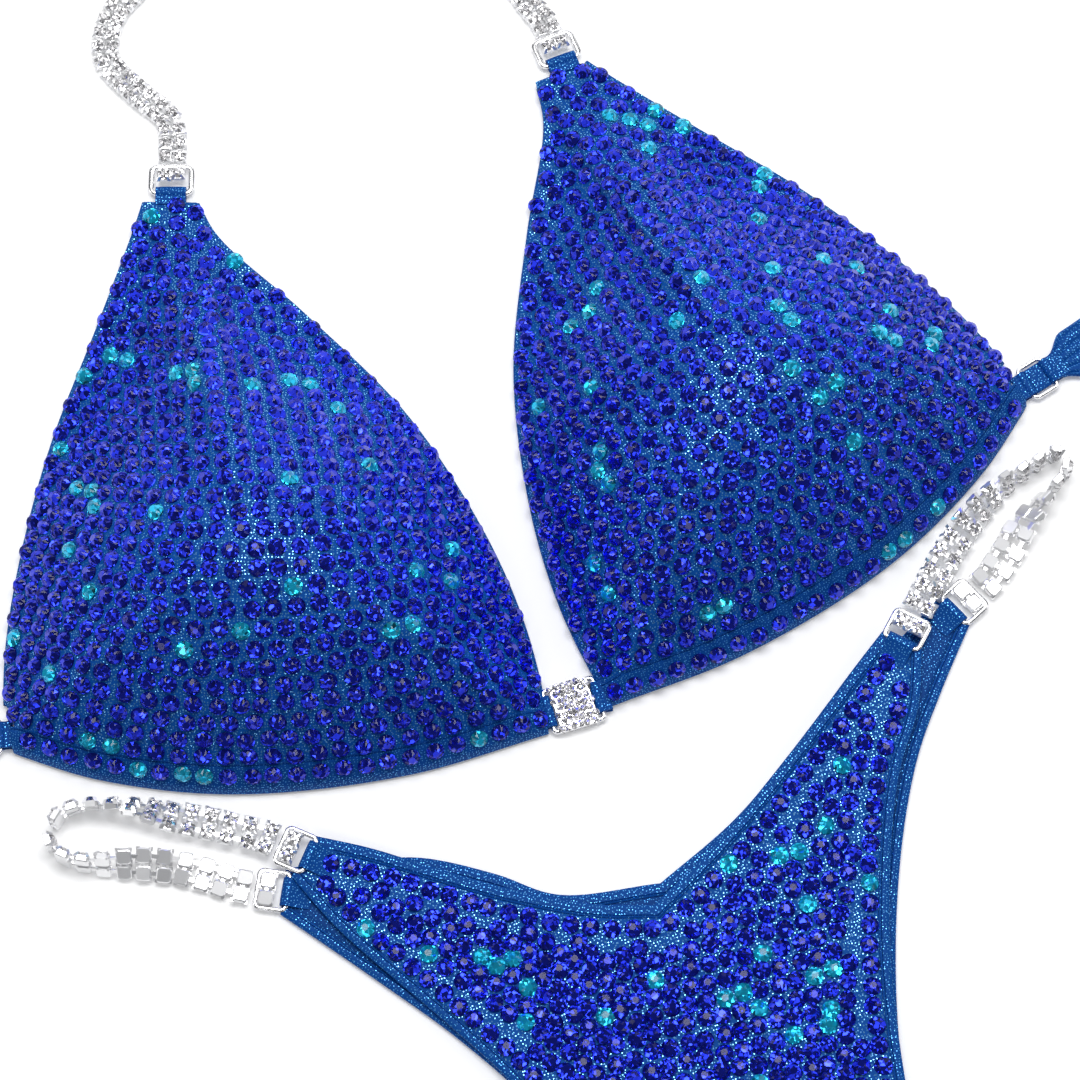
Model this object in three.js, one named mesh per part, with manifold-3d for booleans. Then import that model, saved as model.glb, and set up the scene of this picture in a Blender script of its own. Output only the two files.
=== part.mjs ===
// A two-piece stage competition suit laid flat on a table: two moulded cups joined by a jewelled
// centre connector, neck chains, back straps, and a separate bottom with chained hips.
// Units are millimetres. X and Y lie on the table, +Z points up, and the origin is the centre of
// the connector's flat underside.

import * as THREE from "three";
import { mergeVertices } from "three/addons/utils/BufferGeometryUtils.js";
import Module from "manifold-3d";

const wasm = await Module();
wasm.setup();

// ---------------------------------------------------------------- driving dimensions
const SEAM_GAP = 0.3; // clearance between pieces that touch
const CLOTH = 0.7; // face fabric
const LINING = 0.5;
const LOOP_CLOTH = 0.6; // wall of a cloth loop round a metal bar
const LOOP_TAIL = 1.6; // from the outside of a loop to the cloth it is sewn to
const LOOP_TAIL_DROP = 1.55; // how far a cup's loop tail reaches below and above its bar
const LOOP_TAIL_RISE = 1.2;

// Cup, in its own frame: inner corner at the origin, hem chord along +x, apex towards +y.
const CUP_CHORD = 146;
const CUP_RISE = 162; // hem chord to apex
const CUP_HEM_SAG = 14; // how far the hem bows below its chord
const CUP_PEAK = [76, 44]; // where the dome is highest, on the drawn outline
const CUP_APEX = [101, 162];
const CUP_DOME = 34; // depth of the hollow
const FOAM_CROWN = 5; // extra foam thickness at the peak
const FOAM_EDGE = 0.8;
const STONE_RISE = 1.5; // height of the glued stones
const DOME_SIDE_POWER = 1.1; // steepness of the dome at its sides
const DOME_APEX_POWER = 2.2; // and along the run to the apex
const DOME_APEX_FOCUS = 3; // how narrow that run is
const HEM_TOP = 0.5; // edges below this height belong to the hem
const OUTER_FROM = 0.68; // and beyond these shares of the chord or the rise to the outer side
const OUTER_ABOVE = 0.957;
const HEM_BAND = 6.5; // width of the elastic casing along the hem
const EDGE_BINDING = 2.2; // width of the rolled side edges
const BAND_LOW = 0.2;
const BAND_HIGH = 3.0;

const CUP_DRAWN = { chord: 146, rise: 162 }; // the cup outline below is drawn at this size and stretched

// Cup placements on the table: inner corner, direction of the hem chord, mirrored or not.
const RIGHT_CUP = { corner: [10.4, -0.2], degrees: 37.1, mirror: 1 };
const LEFT_CUP = { corner: [-6.6, -7.9], degrees: 181.8, mirror: -1 };

// Centre connector.
const PLATE_LENGTH = 10;
const PLATE_WIDTH = 13;
const PLATE_HEIGHT = 2.2;
const PLATE_DEGREES = 17;
const BAR_SPACING = 14; // between its two end bars
const BAR_RADIUS = 0.7;
const BAR_LIFT = 1.95; // height of every bar that lies on the table layer
const CUT_TOLERANCE = 0.01; // an edge this square to a bar, and this near it, is cut for a loop
const CUT_REACH = 14;
const CONNECTOR_STONE = 1.6;
const CONNECTOR_ARM = 1.12; // side arms between its end bars
const CENTRE_LOOP_WIDTH = 8.6;

// Rectangular rings: width is along the bars, span is from bar to bar, wire is square.
const NECK_RING = { width: 12.8, span: 8, wire: 1.6, thick: 1.2, radius: 2.4 };
const SIDE_RING = { width: 10.8, span: 7.7, wire: 1.2, thick: 1.2, radius: 2 };
const HIP_RING = { width: 11.4, span: 8.2, wire: 1.3, thick: 1.2, radius: 2 };

// Bars at a cup's ends, on its drawn outline: centre, and direction away from the cup.
const LEFT_APEX = { at: [101, 160.1], degrees: 91.8 };
const RIGHT_APEX = { at: [103.9, 159.4], degrees: 74.9 };
const CUP_SIDE = { at: [146.8, 3.9], degrees: -4.1 };

// Chains of square claw cups in two rows.
const NECK_CHAIN = { width: 8.1, height: 3, pitch: 4.1 };
const HIP_CHAIN = { width: 9, height: 3, pitch: 5.6 };
const LINK_SHARE = 0.72; // width of the links between cups, as a share of the chain's width
const LINK_HEIGHT = 0.8;
const CHAIN_END_GAP = 1.3; // from a bar's centre to the first link
const CHAIN_LEAD = 4; // straight run square to the bar before a chain starts to curve
const CHAIN_SETTLE = [0, 0.15]; // shares of a route between which a chain comes down from its ring
const NECK_SPLIT = 0.48; // where a neck chain is divided into its lower and upper run
const NECK_SPLIT_GAP = 0.0035; // and the gap between them, as shares of its length

// Neck chain routes, as offsets from the bar at the cup's apex.
const LEFT_NECK_ROUTE = [
  [-1.3, 22.5], [-10.4, 31], [-19.5, 41.7], [-18.4, 54.7], [-9.4, 67],
  [9.6, 94], [26.6, 125], [32.6, 142], [37.6, 154],
];
const RIGHT_NECK_ROUTE = [
  [-9.8, 19.1], [-16.1, 31.4], [-20.1, 46.4], [-18.1, 62.4], [-11.1, 77.4],
  [-8.1, 93.4], [-14.1, 108.4], [-26.1, 118.4], [-41.1, 122.4],
];

// Back straps in the cup frame, as offsets from the bar at the cup's side.
const STRAP_ROUTE = [
  [16.2, -1], [29.2, -1.1], [48.2, 2.1], [71.2, 11.1], [91.2, 26.1], [107.2, 46.1], [117.2, 69.1],
];
const STRAP_WIDTH = 15;
const STRAP_NECK = 7.6; // gathered width where it passes through the ring
const STRAP_THICK = 2.4;
const STRAP_TAIL = 0.8; // extra length of the strap's loop, and how far the strap laps over it
const STRAP_LAP = 0.4;
const STRAP_WIDENS = 0.12; // share of its length over which it spreads to its full width
const STRAP_STEPS = 14;

// Bottom, in its own frame: x along the hips, y towards the waist.
const BOTTOM = { corner: [10.3, -14.9], degrees: 20.4, mirror: 1 };
const HIP_WIDTH = 168.5; // between the two tabs of the front panel
const FOLD_DEPTH = 225; // from the hip line to the crotch fold
const BOTTOM_DRAWN = { hips: 168.5, fold: 225 }; // the outlines below are drawn at this size and stretched
const WAIST_LEFT = [
  [-81.5, 7.5], [-69.2, -0.5], [-57.9, -9.1], [-37.1, -24.6], [-18.4, -35.7], [-4, -41.3],
];
const WAIST_RIGHT = [
  [-4, -41.3], [10.7, -34.6], [26.2, -26.5], [48.8, -12.9], [70.3, 1], [80.7, 7.5],
];
const LEG_RIGHT = [
  [89, -0.5], [82.2, -15], [70, -31], [59, -52], [47.1, -83], [36, -130],
  [28, -185], [26, -225],
];
const LEG_LEFT = [
  [-26, -225], [-28, -185], [-37, -130], [-54.3, -75], [-65, -53.5], [-77, -32],
  [-84.6, -17.5], [-91, -1],
];
const BACK_WAIST_LEFT = [
  [-91.5, 2.4], [-74, -2.2], [-57.2, -7.4], [-40, -18.5], [-26.4, -29.5], [0, -36],
];
const BACK_WAIST_RIGHT = [
  [0, -36], [24, -27], [46, -15], [70, -3], [100, 12],
];
const BACK_LEG_RIGHT = [
  [104, 1.5], [90.3, -12.5], [76, -29], [60, -56], [45, -92], [34, -135],
  [27, -185], [25.5, -225],
];
const BACK_LEG_LEFT = [
  [-25.5, -225], [-27, -185], [-36, -130], [-52, -80], [-64, -57], [-78, -36],
  [-97, -9],
];
const FRONT_TABS = [{ at: [83.9, 2.6], degrees: 41.6 }, { at: [-84.6, 2.6], degrees: 136.6 }];
const BACK_TABS = [{ at: [101, 6.2], degrees: 22 }, { at: [-93.2, -4.2], degrees: 151.6 }];
const WAIST_STEPS = 6;
const LEG_STEPS = 9;
const WAIST_BINDING = 3.6;
const LEG_BINDING = 3;
const BACK_LAYER = 0.2; // underside of the back panel
const PANEL_LAYER_GAP = 0.4;
const FRONT_RING_LIFT = 4.2;
const FOLD_RADIUS = 2.4; // how far the crotch gusset bulges past the fold line

// Hip chains, as offsets from the bar of the front tab: out to the hairpin, and from there back
// to the ring of the back panel. Each strand lies flat at its ring and rolls on edge on its way.
const LEFT_HIP_OUT = [
  [-21.6, 7.6], [-29.5, 9.4], [-37.5, 11], [-45.5, 13.2], [-53.6, 14.3], [-60.6, 13.8],
  [-66.5, 11.4], [-68.9, 7.8],
];
const LEFT_HIP_BACK = [
  [-69.1, 6.2], [-67.7, 2.2], [-63.1, -0.8], [-56.1, -2.1], [-45.1, -1.9], [-34.4, -2.9],
  [-26.5, -4.9],
];
const RIGHT_HIP_OUT = [
  [13.1, 24.2], [20.3, 34.8], [28.8, 43.6], [38.2, 50.2], [43.5, 53.4], [46.6, 53.6],
];
const RIGHT_HIP_BACK = [
  [47.4, 52.2], [46.6, 48.4], [43.2, 43.8], [38.8, 38.6], [33.9, 32.6], [30.3, 26.5],
];
const HIP_ROLL = [0.25, 0.9]; // shares of a strand between which it rolls on edge
const FRONT_SETTLE = [0.4, 0.8]; // a front strand first passes over the back ring

// Colours.
const SATIN_BLUE = { color: 0x0b4fa8, roughness: 0.45, metalness: 0.35 };
const DEEP_BLUE = { color: 0x0a3c86, roughness: 0.6, metalness: 0.1 };
const FOAM_WHITE = { color: 0xe8e4da, roughness: 0.95, metalness: 0 };
const SAPPHIRE = { color: 0x1616c8, roughness: 0.1, metalness: 0.4 };
const CLEAR_STONE = { color: 0xf0f2f6, roughness: 0.08, metalness: 0.3 };
const SILVER = { color: 0xd8dade, roughness: 0.18, metalness: 1 };

const suit = new THREE.Group();
const UP = new THREE.Vector3(0, 0, 1);

function add(name, geometry, look) {
  const mesh = new THREE.Mesh(geometry, new THREE.MeshStandardMaterial(look));
  mesh.name = name;
  suit.add(mesh);
}

// ---------------------------------------------------------------- flat frames and outlines
const radians = THREE.MathUtils.degToRad;

// A point given in a flat frame, such as a cup's, placed on the table.
function onTable(frame, [x, y]) {
  const c = Math.cos(radians(frame.degrees));
  const s = Math.sin(radians(frame.degrees));
  const side = y * frame.mirror;
  return new THREE.Vector2(frame.corner[0] + x * c - side * s, frame.corner[1] + x * s + side * c);
}

// A bar given in a flat frame: its centre, and the direction from the garment outwards.
function barOnTable(frame, bar) {
  return { at: onTable(frame, bar.at).toArray(), degrees: frame.degrees + frame.mirror * bar.degrees };
}

const outwards = (bar) => new THREE.Vector2(Math.cos(radians(bar.degrees)), Math.sin(radians(bar.degrees)));

const spline = (points, steps) =>
  new THREE.SplineCurve(points.map((p) => new THREE.Vector2(...p))).getSpacedPoints(steps);

const signedArea = (points) => THREE.ShapeUtils.area(points);

// A table point expressed in a flat frame.
function inFrame(frame, p) {
  const local = p.clone().sub(new THREE.Vector2(...frame.corner));
  local.rotateAround(new THREE.Vector2(), -radians(frame.degrees));
  return local.setY(local.y * frame.mirror);
}

// Points drawn at one size, stretched to the driving size.
const onCup = ([x, y]) => [(x * CUP_CHORD) / CUP_DRAWN.chord, (y * CUP_RISE) / CUP_DRAWN.rise];
const onBottom = ([x, y]) => [(x * HIP_WIDTH) / BOTTOM_DRAWN.hips, (y * FOLD_DEPTH) / BOTTOM_DRAWN.fold];

// A route given as offsets from a start.
const from = ([x0, y0], offsets) => offsets.map(([x, y]) => [x0 + x, y0 + y]);

// The outline moved inwards by a distance of its own on each edge, corners mitred.
function inset(points, distances) {
  const turn = Math.sign(signedArea(points));
  const count = points.length;
  const edge = (i) => {
    const a = points[(i + count) % count];
    const b = points[(i + 1) % count];
    const along = b.clone().sub(a).normalize();
    const inward = new THREE.Vector2(-along.y, along.x).multiplyScalar(turn);
    return { through: a.clone().addScaledVector(inward, distances[(i + count) % count]), along };
  };
  return points.map((_, i) => {
    const before = edge(i - 1);
    const after = edge(i);
    const cross = before.along.cross(after.along);
    if (Math.abs(cross) < 0.02) return after.through;
    const t = after.through.clone().sub(before.through).cross(after.along) / cross;
    return before.through.clone().addScaledVector(before.along, t);
  });
}

// The part of an outline that lies behind a line across a bar's outward direction.
function clipBehind(points, bar, setBack) {
  const out = outwards(bar);
  const line = new THREE.Vector2(...bar.at).addScaledVector(out, -setBack);
  const height = (p) => p.clone().sub(line).dot(out);
  const kept = [];
  points.forEach((p, i) => {
    const q = points[(i + 1) % points.length];
    const [hp, hq] = [height(p), height(q)];
    if (hp <= 0) kept.push(p);
    if (hp * hq < 0) kept.push(p.clone().lerp(q, hp / (hp - hq)));
  });
  return kept;
}

function slab(points, low, high) {
  const geometry = new THREE.ExtrudeGeometry(new THREE.Shape(points), {
    depth: high - low,
    bevelEnabled: false,
    steps: 1,
  });
  return geometry.translate(0, 0, low);
}

// ---------------------------------------------------------------- solids
function indexed(geometry) {
  const bare = geometry.clone();
  bare.deleteAttribute("normal");
  bare.deleteAttribute("uv");
  return mergeVertices(bare, 1e-4);
}

function solid(geometry) {
  const merged = indexed(geometry);
  return new wasm.Manifold(
    new wasm.Mesh({
      numProp: 3,
      vertProperties: new Float32Array(merged.attributes.position.array),
      triVerts: new Uint32Array(merged.index.array),
    })
  );
}

function joined(...geometries) {
  const whole = geometries.map(solid).reduce((a, b) => a.add(b));
  const mesh = whole.getMesh();
  const geometry = new THREE.BufferGeometry();
  geometry.setAttribute("position", new THREE.BufferAttribute(mesh.vertProperties, 3));
  geometry.setIndex(new THREE.BufferAttribute(mesh.triVerts, 1));
  return geometry;
}

function closedMesh(vertices, faces) {
  const geometry = new THREE.BufferGeometry();
  geometry.setAttribute("position", new THREE.Float32BufferAttribute(vertices.flat(), 3));
  geometry.setIndex(faces.flat());
  return geometry;
}

// A skin over an outline, between two height functions, on rings that shrink towards a centre.
function skin(outline, centre, lower, upper) {
  const rings = [0.42, 0.74, 1];
  const points = signedArea(outline) > 0 ? outline : [...outline].reverse();
  const count = points.length;
  const half = 1 + rings.length * count;
  const vertices = [];
  for (const height of [upper, lower]) {
    vertices.push([centre.x, centre.y, height(centre)]);
    for (const t of rings) {
      for (const p of points) {
        const q = centre.clone().lerp(p, t);
        vertices.push([q.x, q.y, height(q)]);
      }
    }
  }
  const faces = [];
  const at = (ring, i) => 1 + ring * count + (i % count);
  for (let i = 0; i < count; i++) {
    faces.push([0, at(0, i), at(0, i + 1)]);
    faces.push([half, half + at(0, i + 1), half + at(0, i)]);
    for (let ring = 1; ring < rings.length; ring++) {
      const [a, b, c, d] = [at(ring - 1, i), at(ring, i), at(ring, i + 1), at(ring - 1, i + 1)];
      faces.push([a, b, c], [a, c, d]);
      faces.push([half + a, half + c, half + b], [half + a, half + d, half + c]);
    }
    const last = rings.length - 1;
    const [a, b] = [at(last, i), at(last, i + 1)];
    faces.push([a, half + a, half + b], [a, half + b, b]);
  }
  return closedMesh(vertices, faces);
}

// A ribbon through stations {centre, side, up, width, height}, closed at both ends.
function ribbon(stations) {
  const vertices = [];
  for (const { centre, side, up, width, height } of stations) {
    for (const [s, u] of [[-1, -1], [1, -1], [1, 1], [-1, 1]]) {
      const p = centre.clone().addScaledVector(side, (s * width) / 2).addScaledVector(up, (u * height) / 2);
      vertices.push(p.toArray());
    }
  }
  const faces = [];
  for (let i = 0; i + 1 < stations.length; i++) {
    for (let k = 0; k < 4; k++) {
      const [a, b] = [4 * i + k, 4 * i + ((k + 1) % 4)];
      faces.push([a, a + 4, b + 4], [a, b + 4, b]);
    }
  }
  const end = 4 * (stations.length - 1);
  faces.push([0, 1, 2], [0, 2, 3], [end, end + 2, end + 1], [end, end + 3, end + 2]);
  return closedMesh(vertices, faces);
}

// Stations along a route, rolled about it: 0 lies flat, 90 degrees stands on edge.
function alongRoute(curve, share, roll, width, height) {
  const centre = curve.getPointAt(share);
  const tangent = curve.getTangentAt(share);
  const level = tangent.clone().cross(UP).normalize();
  const side = level.applyAxisAngle(tangent, radians(roll));
  const up = side.clone().cross(tangent).normalize();
  return { centre, side, up, width, height };
}

// A run of claw-cup chain, wide at each cup, narrow and thin at each link and at both ends. It
// starts at the height of its ring's bar and comes down to lie on the table.
function chainRun(route, size, lift, { rolls = [0, 0], part = [0, 1], settle = CHAIN_SETTLE } = {}) {
  const curve = new THREE.CatmullRomCurve3(route.map(([x, y]) => new THREE.Vector3(x, y, 0)));
  const { lerp, smoothstep } = THREE.MathUtils;
  const length = curve.getLength() * (part[1] - part[0]);
  const steps = 2 * Math.max(2, Math.round(length / size.pitch));
  const stations = Array.from({ length: steps + 1 }, (_, i) => {
    const share = lerp(part[0], part[1], i / steps);
    const isEnd = i === 0 || i === steps;
    const scale = i % 2 === 1 ? 1 : LINK_SHARE;
    const height = isEnd ? LINK_HEIGHT : size.height * scale;
    const roll = lerp(rolls[0], rolls[1], smoothstep(share, ...HIP_ROLL));
    const station = alongRoute(curve, share, roll, size.width * scale, height);
    station.centre.z = lerp(lift, restHeight(size, roll), smoothstep(share, ...settle));
    return station;
  });
  return ribbon(stations);
}

// How high the centre of a chain lies over the table when it is rolled.
const restHeight = ({ width, height }, roll) =>
  BAND_LOW + (width * Math.abs(Math.sin(radians(roll))) + height * Math.abs(Math.cos(radians(roll)))) / 2;

// A rectangular ring whose near bar is centred on the origin and whose far bar lies at +x.
function ring({ width, span, wire, thick, radius }) {
  const rounded = (shape, x0, y0, x1, y1, r) => {
    shape.moveTo(x0 + r, y0).lineTo(x1 - r, y0).absarc(x1 - r, y0 + r, r, -Math.PI / 2, 0, false);
    shape.lineTo(x1, y1 - r).absarc(x1 - r, y1 - r, r, 0, Math.PI / 2, false);
    shape.lineTo(x0 + r, y1).absarc(x0 + r, y1 - r, r, Math.PI / 2, Math.PI, false);
    shape.lineTo(x0, y0 + r).absarc(x0 + r, y0 + r, r, Math.PI, 1.5 * Math.PI, false);
    return shape;
  };
  const [w, h] = [wire / 2, width / 2];
  const shape = rounded(new THREE.Shape(), -w, -h, span + w, h, radius);
  const inner = Math.max(radius - wire, 0.3);
  shape.holes.push(rounded(new THREE.Path(), w, -h + wire, span - w, h - wire, inner));
  const geometry = new THREE.ExtrudeGeometry(shape, { depth: thick, bevelEnabled: false, curveSegments: 3 });
  return geometry.translate(0, 0, -thick / 2);
}

const boreRound = ({ wire, thick }) => Math.hypot(wire, thick) / 2 + SEAM_GAP;

// A cloth loop round a bar at the origin, with its tail towards -x.
function clothLoop(width, bore, tail, tailLow, tailHigh) {
  const outer = bore + LOOP_CLOTH;
  const shape = new THREE.Shape();
  const high = Math.min(tailHigh, outer * 0.8);
  const low = Math.max(tailLow, -outer * 0.8);
  const start = Math.asin(high / outer);
  const stop = Math.asin(low / outer);
  shape.moveTo(-tail, high);
  shape.lineTo(-tail, low);
  shape.absarc(0, 0, outer, Math.PI - stop, 3 * Math.PI - start, false);
  shape.lineTo(-tail, high);
  const hole = new THREE.Path();
  hole.absarc(0, 0, bore, 0, 2 * Math.PI, true);
  shape.holes.push(hole);
  const geometry = new THREE.ExtrudeGeometry(shape, { depth: width, bevelEnabled: false, curveSegments: 5 });
  return geometry.translate(0, 0, -width / 2).rotateX(Math.PI / 2);
}

// Puts a piece made about a bar at the origin, with +x outwards, on the table at a bar.
function atBar(geometry, bar, lift, ahead = 0) {
  const out = outwards(bar);
  const place = new THREE.Matrix4()
    .makeTranslation(bar.at[0] + out.x * ahead, bar.at[1] + out.y * ahead, lift)
    .multiply(new THREE.Matrix4().makeRotationZ(radians(bar.degrees)));
  return geometry.applyMatrix4(place);
}

// The first two points of a chain that hangs on a ring's far bar.
const chainLead = (bar, { span }) =>
  [CHAIN_END_GAP, CHAIN_END_GAP + CHAIN_LEAD].map((d) => farBar(bar, span + d).at);

const farBar = (bar, span) => {
  const far = new THREE.Vector2(...bar.at).addScaledVector(outwards(bar), span);
  return { at: far.toArray(), degrees: bar.degrees };
};

// ---------------------------------------------------------------- cups
const hemLine = [
  [0, 0], [38, -0.73 * CUP_HEM_SAG], [84, -CUP_HEM_SAG], [120, -0.64 * CUP_HEM_SAG], [CUP_CHORD, 0],
];
const outerLine = [
  [CUP_CHORD, 0], [CUP_CHORD, 27], [142, 55], [134, 87], [122, 120], [111.5, 150], [108.5, CUP_RISE - 2],
];
const innerLine = [
  [94, CUP_RISE - 3], [88, 147], [64, 123], [36, 92], [16, 58], [5.5, 31], [0.6, 8], [0, 0],
];
const HEM_STEPS = 8;
const OUTER_STEPS = 8;
const INNER_STEPS = 9;

const cupOutline = (frame) =>
  [
    ...spline(hemLine, HEM_STEPS).slice(0, -1),
    ...spline(outerLine, OUTER_STEPS),
    ...spline(innerLine, INNER_STEPS).slice(0, -1),
  ].map((p) => onTable(frame, onCup(p.toArray())));

// How high the dome stands at a point, from 0 at the outline to 1 at the peak.
function domeShape(outline, peak, apex) {
  const reach = (offset) => {
    const direction = offset.clone().normalize();
    for (let i = 0; i < outline.length; i++) {
      const a = outline[i].clone().sub(peak);
      const edge = outline[(i + 1) % outline.length].clone().sub(outline[i]);
      const cross = direction.cross(edge);
      const distance = a.cross(edge) / cross;
      const along = a.cross(direction) / cross;
      if (distance > 0 && along >= 0 && along <= 1) return distance;
    }
    return Infinity;
  };
  const toApex = apex.clone().sub(peak).normalize();
  return (p) => {
    const offset = p.clone().sub(peak);
    if (offset.length() < 1e-6) return 1;
    const t = Math.min(1, offset.length() / reach(offset));
    const facing = Math.max(0, offset.normalize().dot(toApex)) ** DOME_APEX_FOCUS;
    return (1 - t * t) ** (DOME_SIDE_POWER + (DOME_APEX_POWER - DOME_SIDE_POWER) * facing);
  };
}

// ---------------------------------------------------------------- edges and bands
// Whether an edge is one of the cuts made across a bar.
const isCutAt = (bars, p, q) =>
  bars.some((bar) => {
    const level = Math.abs(q.clone().sub(p).normalize().dot(outwards(bar))) < CUT_TOLERANCE;
    return level && p.clone().lerp(q, 0.5).distanceTo(new THREE.Vector2(...bar.at)) < CUT_REACH;
  });

const edgeKinds = (outline, kindOf) => outline.map((p, i) => kindOf(p, outline[(i + 1) % outline.length]));

// The outline of the cloth inside its bands.
const insideBands = (outline, kinds, widths) =>
  inset(outline, kinds.map((kind) => widths[kind] + (kind === "cut" ? 0 : SEAM_GAP)));

// Pulls the two ends of a band back along its edges so that bands never meet at a corner.
function shorten(line) {
  for (const [end, next] of [[0, 1], [line.length - 1, line.length - 2]]) {
    line[end].addScaledVector(line[next].clone().sub(line[end]).normalize(), SEAM_GAP);
  }
}

// One band for each run of edges of a kind, outside the cloth.
function addBands(outline, kinds, widths, names, low, high) {
  const inner = inset(outline, kinds.map((kind) => widths[kind]));
  const count = outline.length;
  for (const [kind, name] of Object.entries(names)) {
    const first = kinds.findIndex((k, i) => k === kind && kinds[(i - 1 + count) % count] !== kind);
    const edges = kinds.filter((k) => k === kind).length;
    const picked = Array.from({ length: edges + 1 }, (_, i) => (first + i) % count);
    const sides = [outline, inner].map((line) => picked.map((i) => line[i].clone()));
    sides.forEach(shorten);
    add(name, slab([...sides[0], ...sides[1].reverse()], low, high), SATIN_BLUE);
  }
}

const centreBar = (side) => ({
  at: [
    side * (BAR_SPACING / 2) * Math.cos(radians(PLATE_DEGREES)),
    side * (BAR_SPACING / 2) * Math.sin(radians(PLATE_DEGREES)),
  ],
  degrees: PLATE_DEGREES + (side > 0 ? 180 : 0),
});

const centreLoopBore = BAR_RADIUS + SEAM_GAP;
const loopSetBack = (bore) => bore + LOOP_CLOTH + LOOP_TAIL;
const loopWidth = ({ width, wire }) => width - 2 * wire - 2 * SEAM_GAP;

function makeCup(side, frame, apexBar) {
  const loops = [
    ["apex_loop", apexBar, loopWidth(NECK_RING), boreRound(NECK_RING)],
    ["centre_loop", centreBar(side === "left" ? -1 : 1), CENTRE_LOOP_WIDTH, centreLoopBore],
    ["side_loop", sideBar(frame), loopWidth(SIDE_RING), boreRound(SIDE_RING)],
  ];
  const bars = loops.map(([, bar]) => bar);
  const full = cupOutline(frame);
  const outline = loops.reduce((points, [, bar, , bore]) => clipBehind(points, bar, loopSetBack(bore)), full);
  const kinds = edgeKinds(outline, (p, q) => {
    if (isCutAt(bars, p, q)) return "cut";
    const { x, y } = inFrame(frame, p.clone().lerp(q, 0.5));
    if (y < HEM_TOP) return "hem";
    return x > OUTER_FROM * CUP_CHORD || y > OUTER_ABOVE * CUP_RISE ? "outer" : "inner";
  });
  const widths = { hem: HEM_BAND, inner: EDGE_BINDING, outer: EDGE_BINDING, cut: 0 };
  const body = insideBands(outline, kinds, widths);

  const peak = onTable(frame, onCup(CUP_PEAK));
  const dome = domeShape(full, peak, onTable(frame, onCup(CUP_APEX)));
  const layer = (base, crown) => (p) => base + crown * dome(p);
  const foamBase = BAND_LOW + LINING + SEAM_GAP;
  const clothBase = foamBase + FOAM_EDGE + SEAM_GAP;
  const stoneBase = clothBase + CLOTH + SEAM_GAP;
  const crown = CUP_DOME + FOAM_CROWN;
  const pieces = [
    ["lining", layer(BAND_LOW, CUP_DOME), layer(BAND_LOW + LINING, CUP_DOME), DEEP_BLUE],
    ["foam_pad", layer(foamBase, CUP_DOME), layer(foamBase + FOAM_EDGE, crown), FOAM_WHITE],
    ["cup_fabric", layer(clothBase, crown), layer(clothBase + CLOTH, crown), SATIN_BLUE],
    ["cup_stones", layer(stoneBase, crown), layer(stoneBase + STONE_RISE, crown), SAPPHIRE],
  ];
  for (const [name, lower, upper, look] of pieces) {
    add(`${name}_${side}`, skin(body, peak, lower, upper), look);
  }
  const bands = {
    hem: `hem_casing_${side}`,
    outer: `outer_binding_${side}`,
    inner: `inner_binding_${side}`,
  };
  addBands(outline, kinds, widths, bands, BAND_LOW, BAND_HIGH);
  for (const [name, bar, width, bore] of loops) {
    const loop = clothLoop(width, bore, loopSetBack(bore) - SEAM_GAP, -LOOP_TAIL_DROP, LOOP_TAIL_RISE);
    add(`${name}_${side}`, atBar(loop, bar, BAR_LIFT), SATIN_BLUE);
  }
}

const sideBar = (frame) => barOnTable(frame, { at: onCup(CUP_SIDE.at), degrees: CUP_SIDE.degrees });
const apexBar = (frame, apex) => barOnTable(frame, { at: onCup(apex.at), degrees: apex.degrees });
const leftApex = apexBar(LEFT_CUP, LEFT_APEX);
const rightApex = apexBar(RIGHT_CUP, RIGHT_APEX);
makeCup("left", LEFT_CUP, leftApex);
makeCup("right", RIGHT_CUP, rightApex);

// ---------------------------------------------------------------- centre connector
function makeConnector() {
  const box = (w, d, h, x, y, z) => new THREE.BoxGeometry(w, d, h).translate(x, y, z);
  const bar = (x) =>
    new THREE.CylinderGeometry(BAR_RADIUS, BAR_RADIUS, PLATE_WIDTH, 8)
      .rotateY(Math.PI / 8)
      .translate(x, 0, BAR_LIFT);
  const armAt = (y) => box(BAR_SPACING, CONNECTOR_ARM, CONNECTOR_ARM, 0, y, BAR_LIFT);
  const armY = (PLATE_WIDTH - CONNECTOR_ARM) / 2;
  const frame = joined(
    box(PLATE_LENGTH, PLATE_WIDTH, PLATE_HEIGHT, 0, 0, PLATE_HEIGHT / 2),
    armAt(armY),
    armAt(-armY),
    bar(-BAR_SPACING / 2),
    bar(BAR_SPACING / 2)
  );
  add("connector_plate", frame.rotateZ(radians(PLATE_DEGREES)), SILVER);
  const base = Math.max(PLATE_HEIGHT, BAR_LIFT + CONNECTOR_ARM / 2) + SEAM_GAP;
  const stones = box(PLATE_LENGTH, PLATE_WIDTH, CONNECTOR_STONE, 0, 0, base + CONNECTOR_STONE / 2);
  add("connector_stones", stones.rotateZ(radians(PLATE_DEGREES)), CLEAR_STONE);
}
makeConnector();

// ---------------------------------------------------------------- neck chains and clasp
function makeNeck(side, bar, offsets) {
  add(`neck_ring_${side}`, atBar(ring(NECK_RING), bar, BAR_LIFT), SILVER);
  const route = [...chainLead(bar, NECK_RING), ...from(bar.at, offsets)];
  const lower = chainRun(route, NECK_CHAIN, BAR_LIFT, { part: [0, NECK_SPLIT] });
  const upper = chainRun(route, NECK_CHAIN, BAR_LIFT, { part: [NECK_SPLIT + NECK_SPLIT_GAP, 1] });
  add(`neck_chain_lower_${side}`, lower, CLEAR_STONE);
  add(`neck_chain_upper_${side}`, upper, CLEAR_STONE);
  return routeEnd(route);
}

// A flat end fitting at a route's end: +x carries on along the route.
const routeEnd = (route) => {
  const [[x0, y0], [x1, y1]] = route.slice(-2);
  return { at: [x1, y1], degrees: THREE.MathUtils.radToDeg(Math.atan2(y1 - y0, x1 - x0)) };
};

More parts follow.
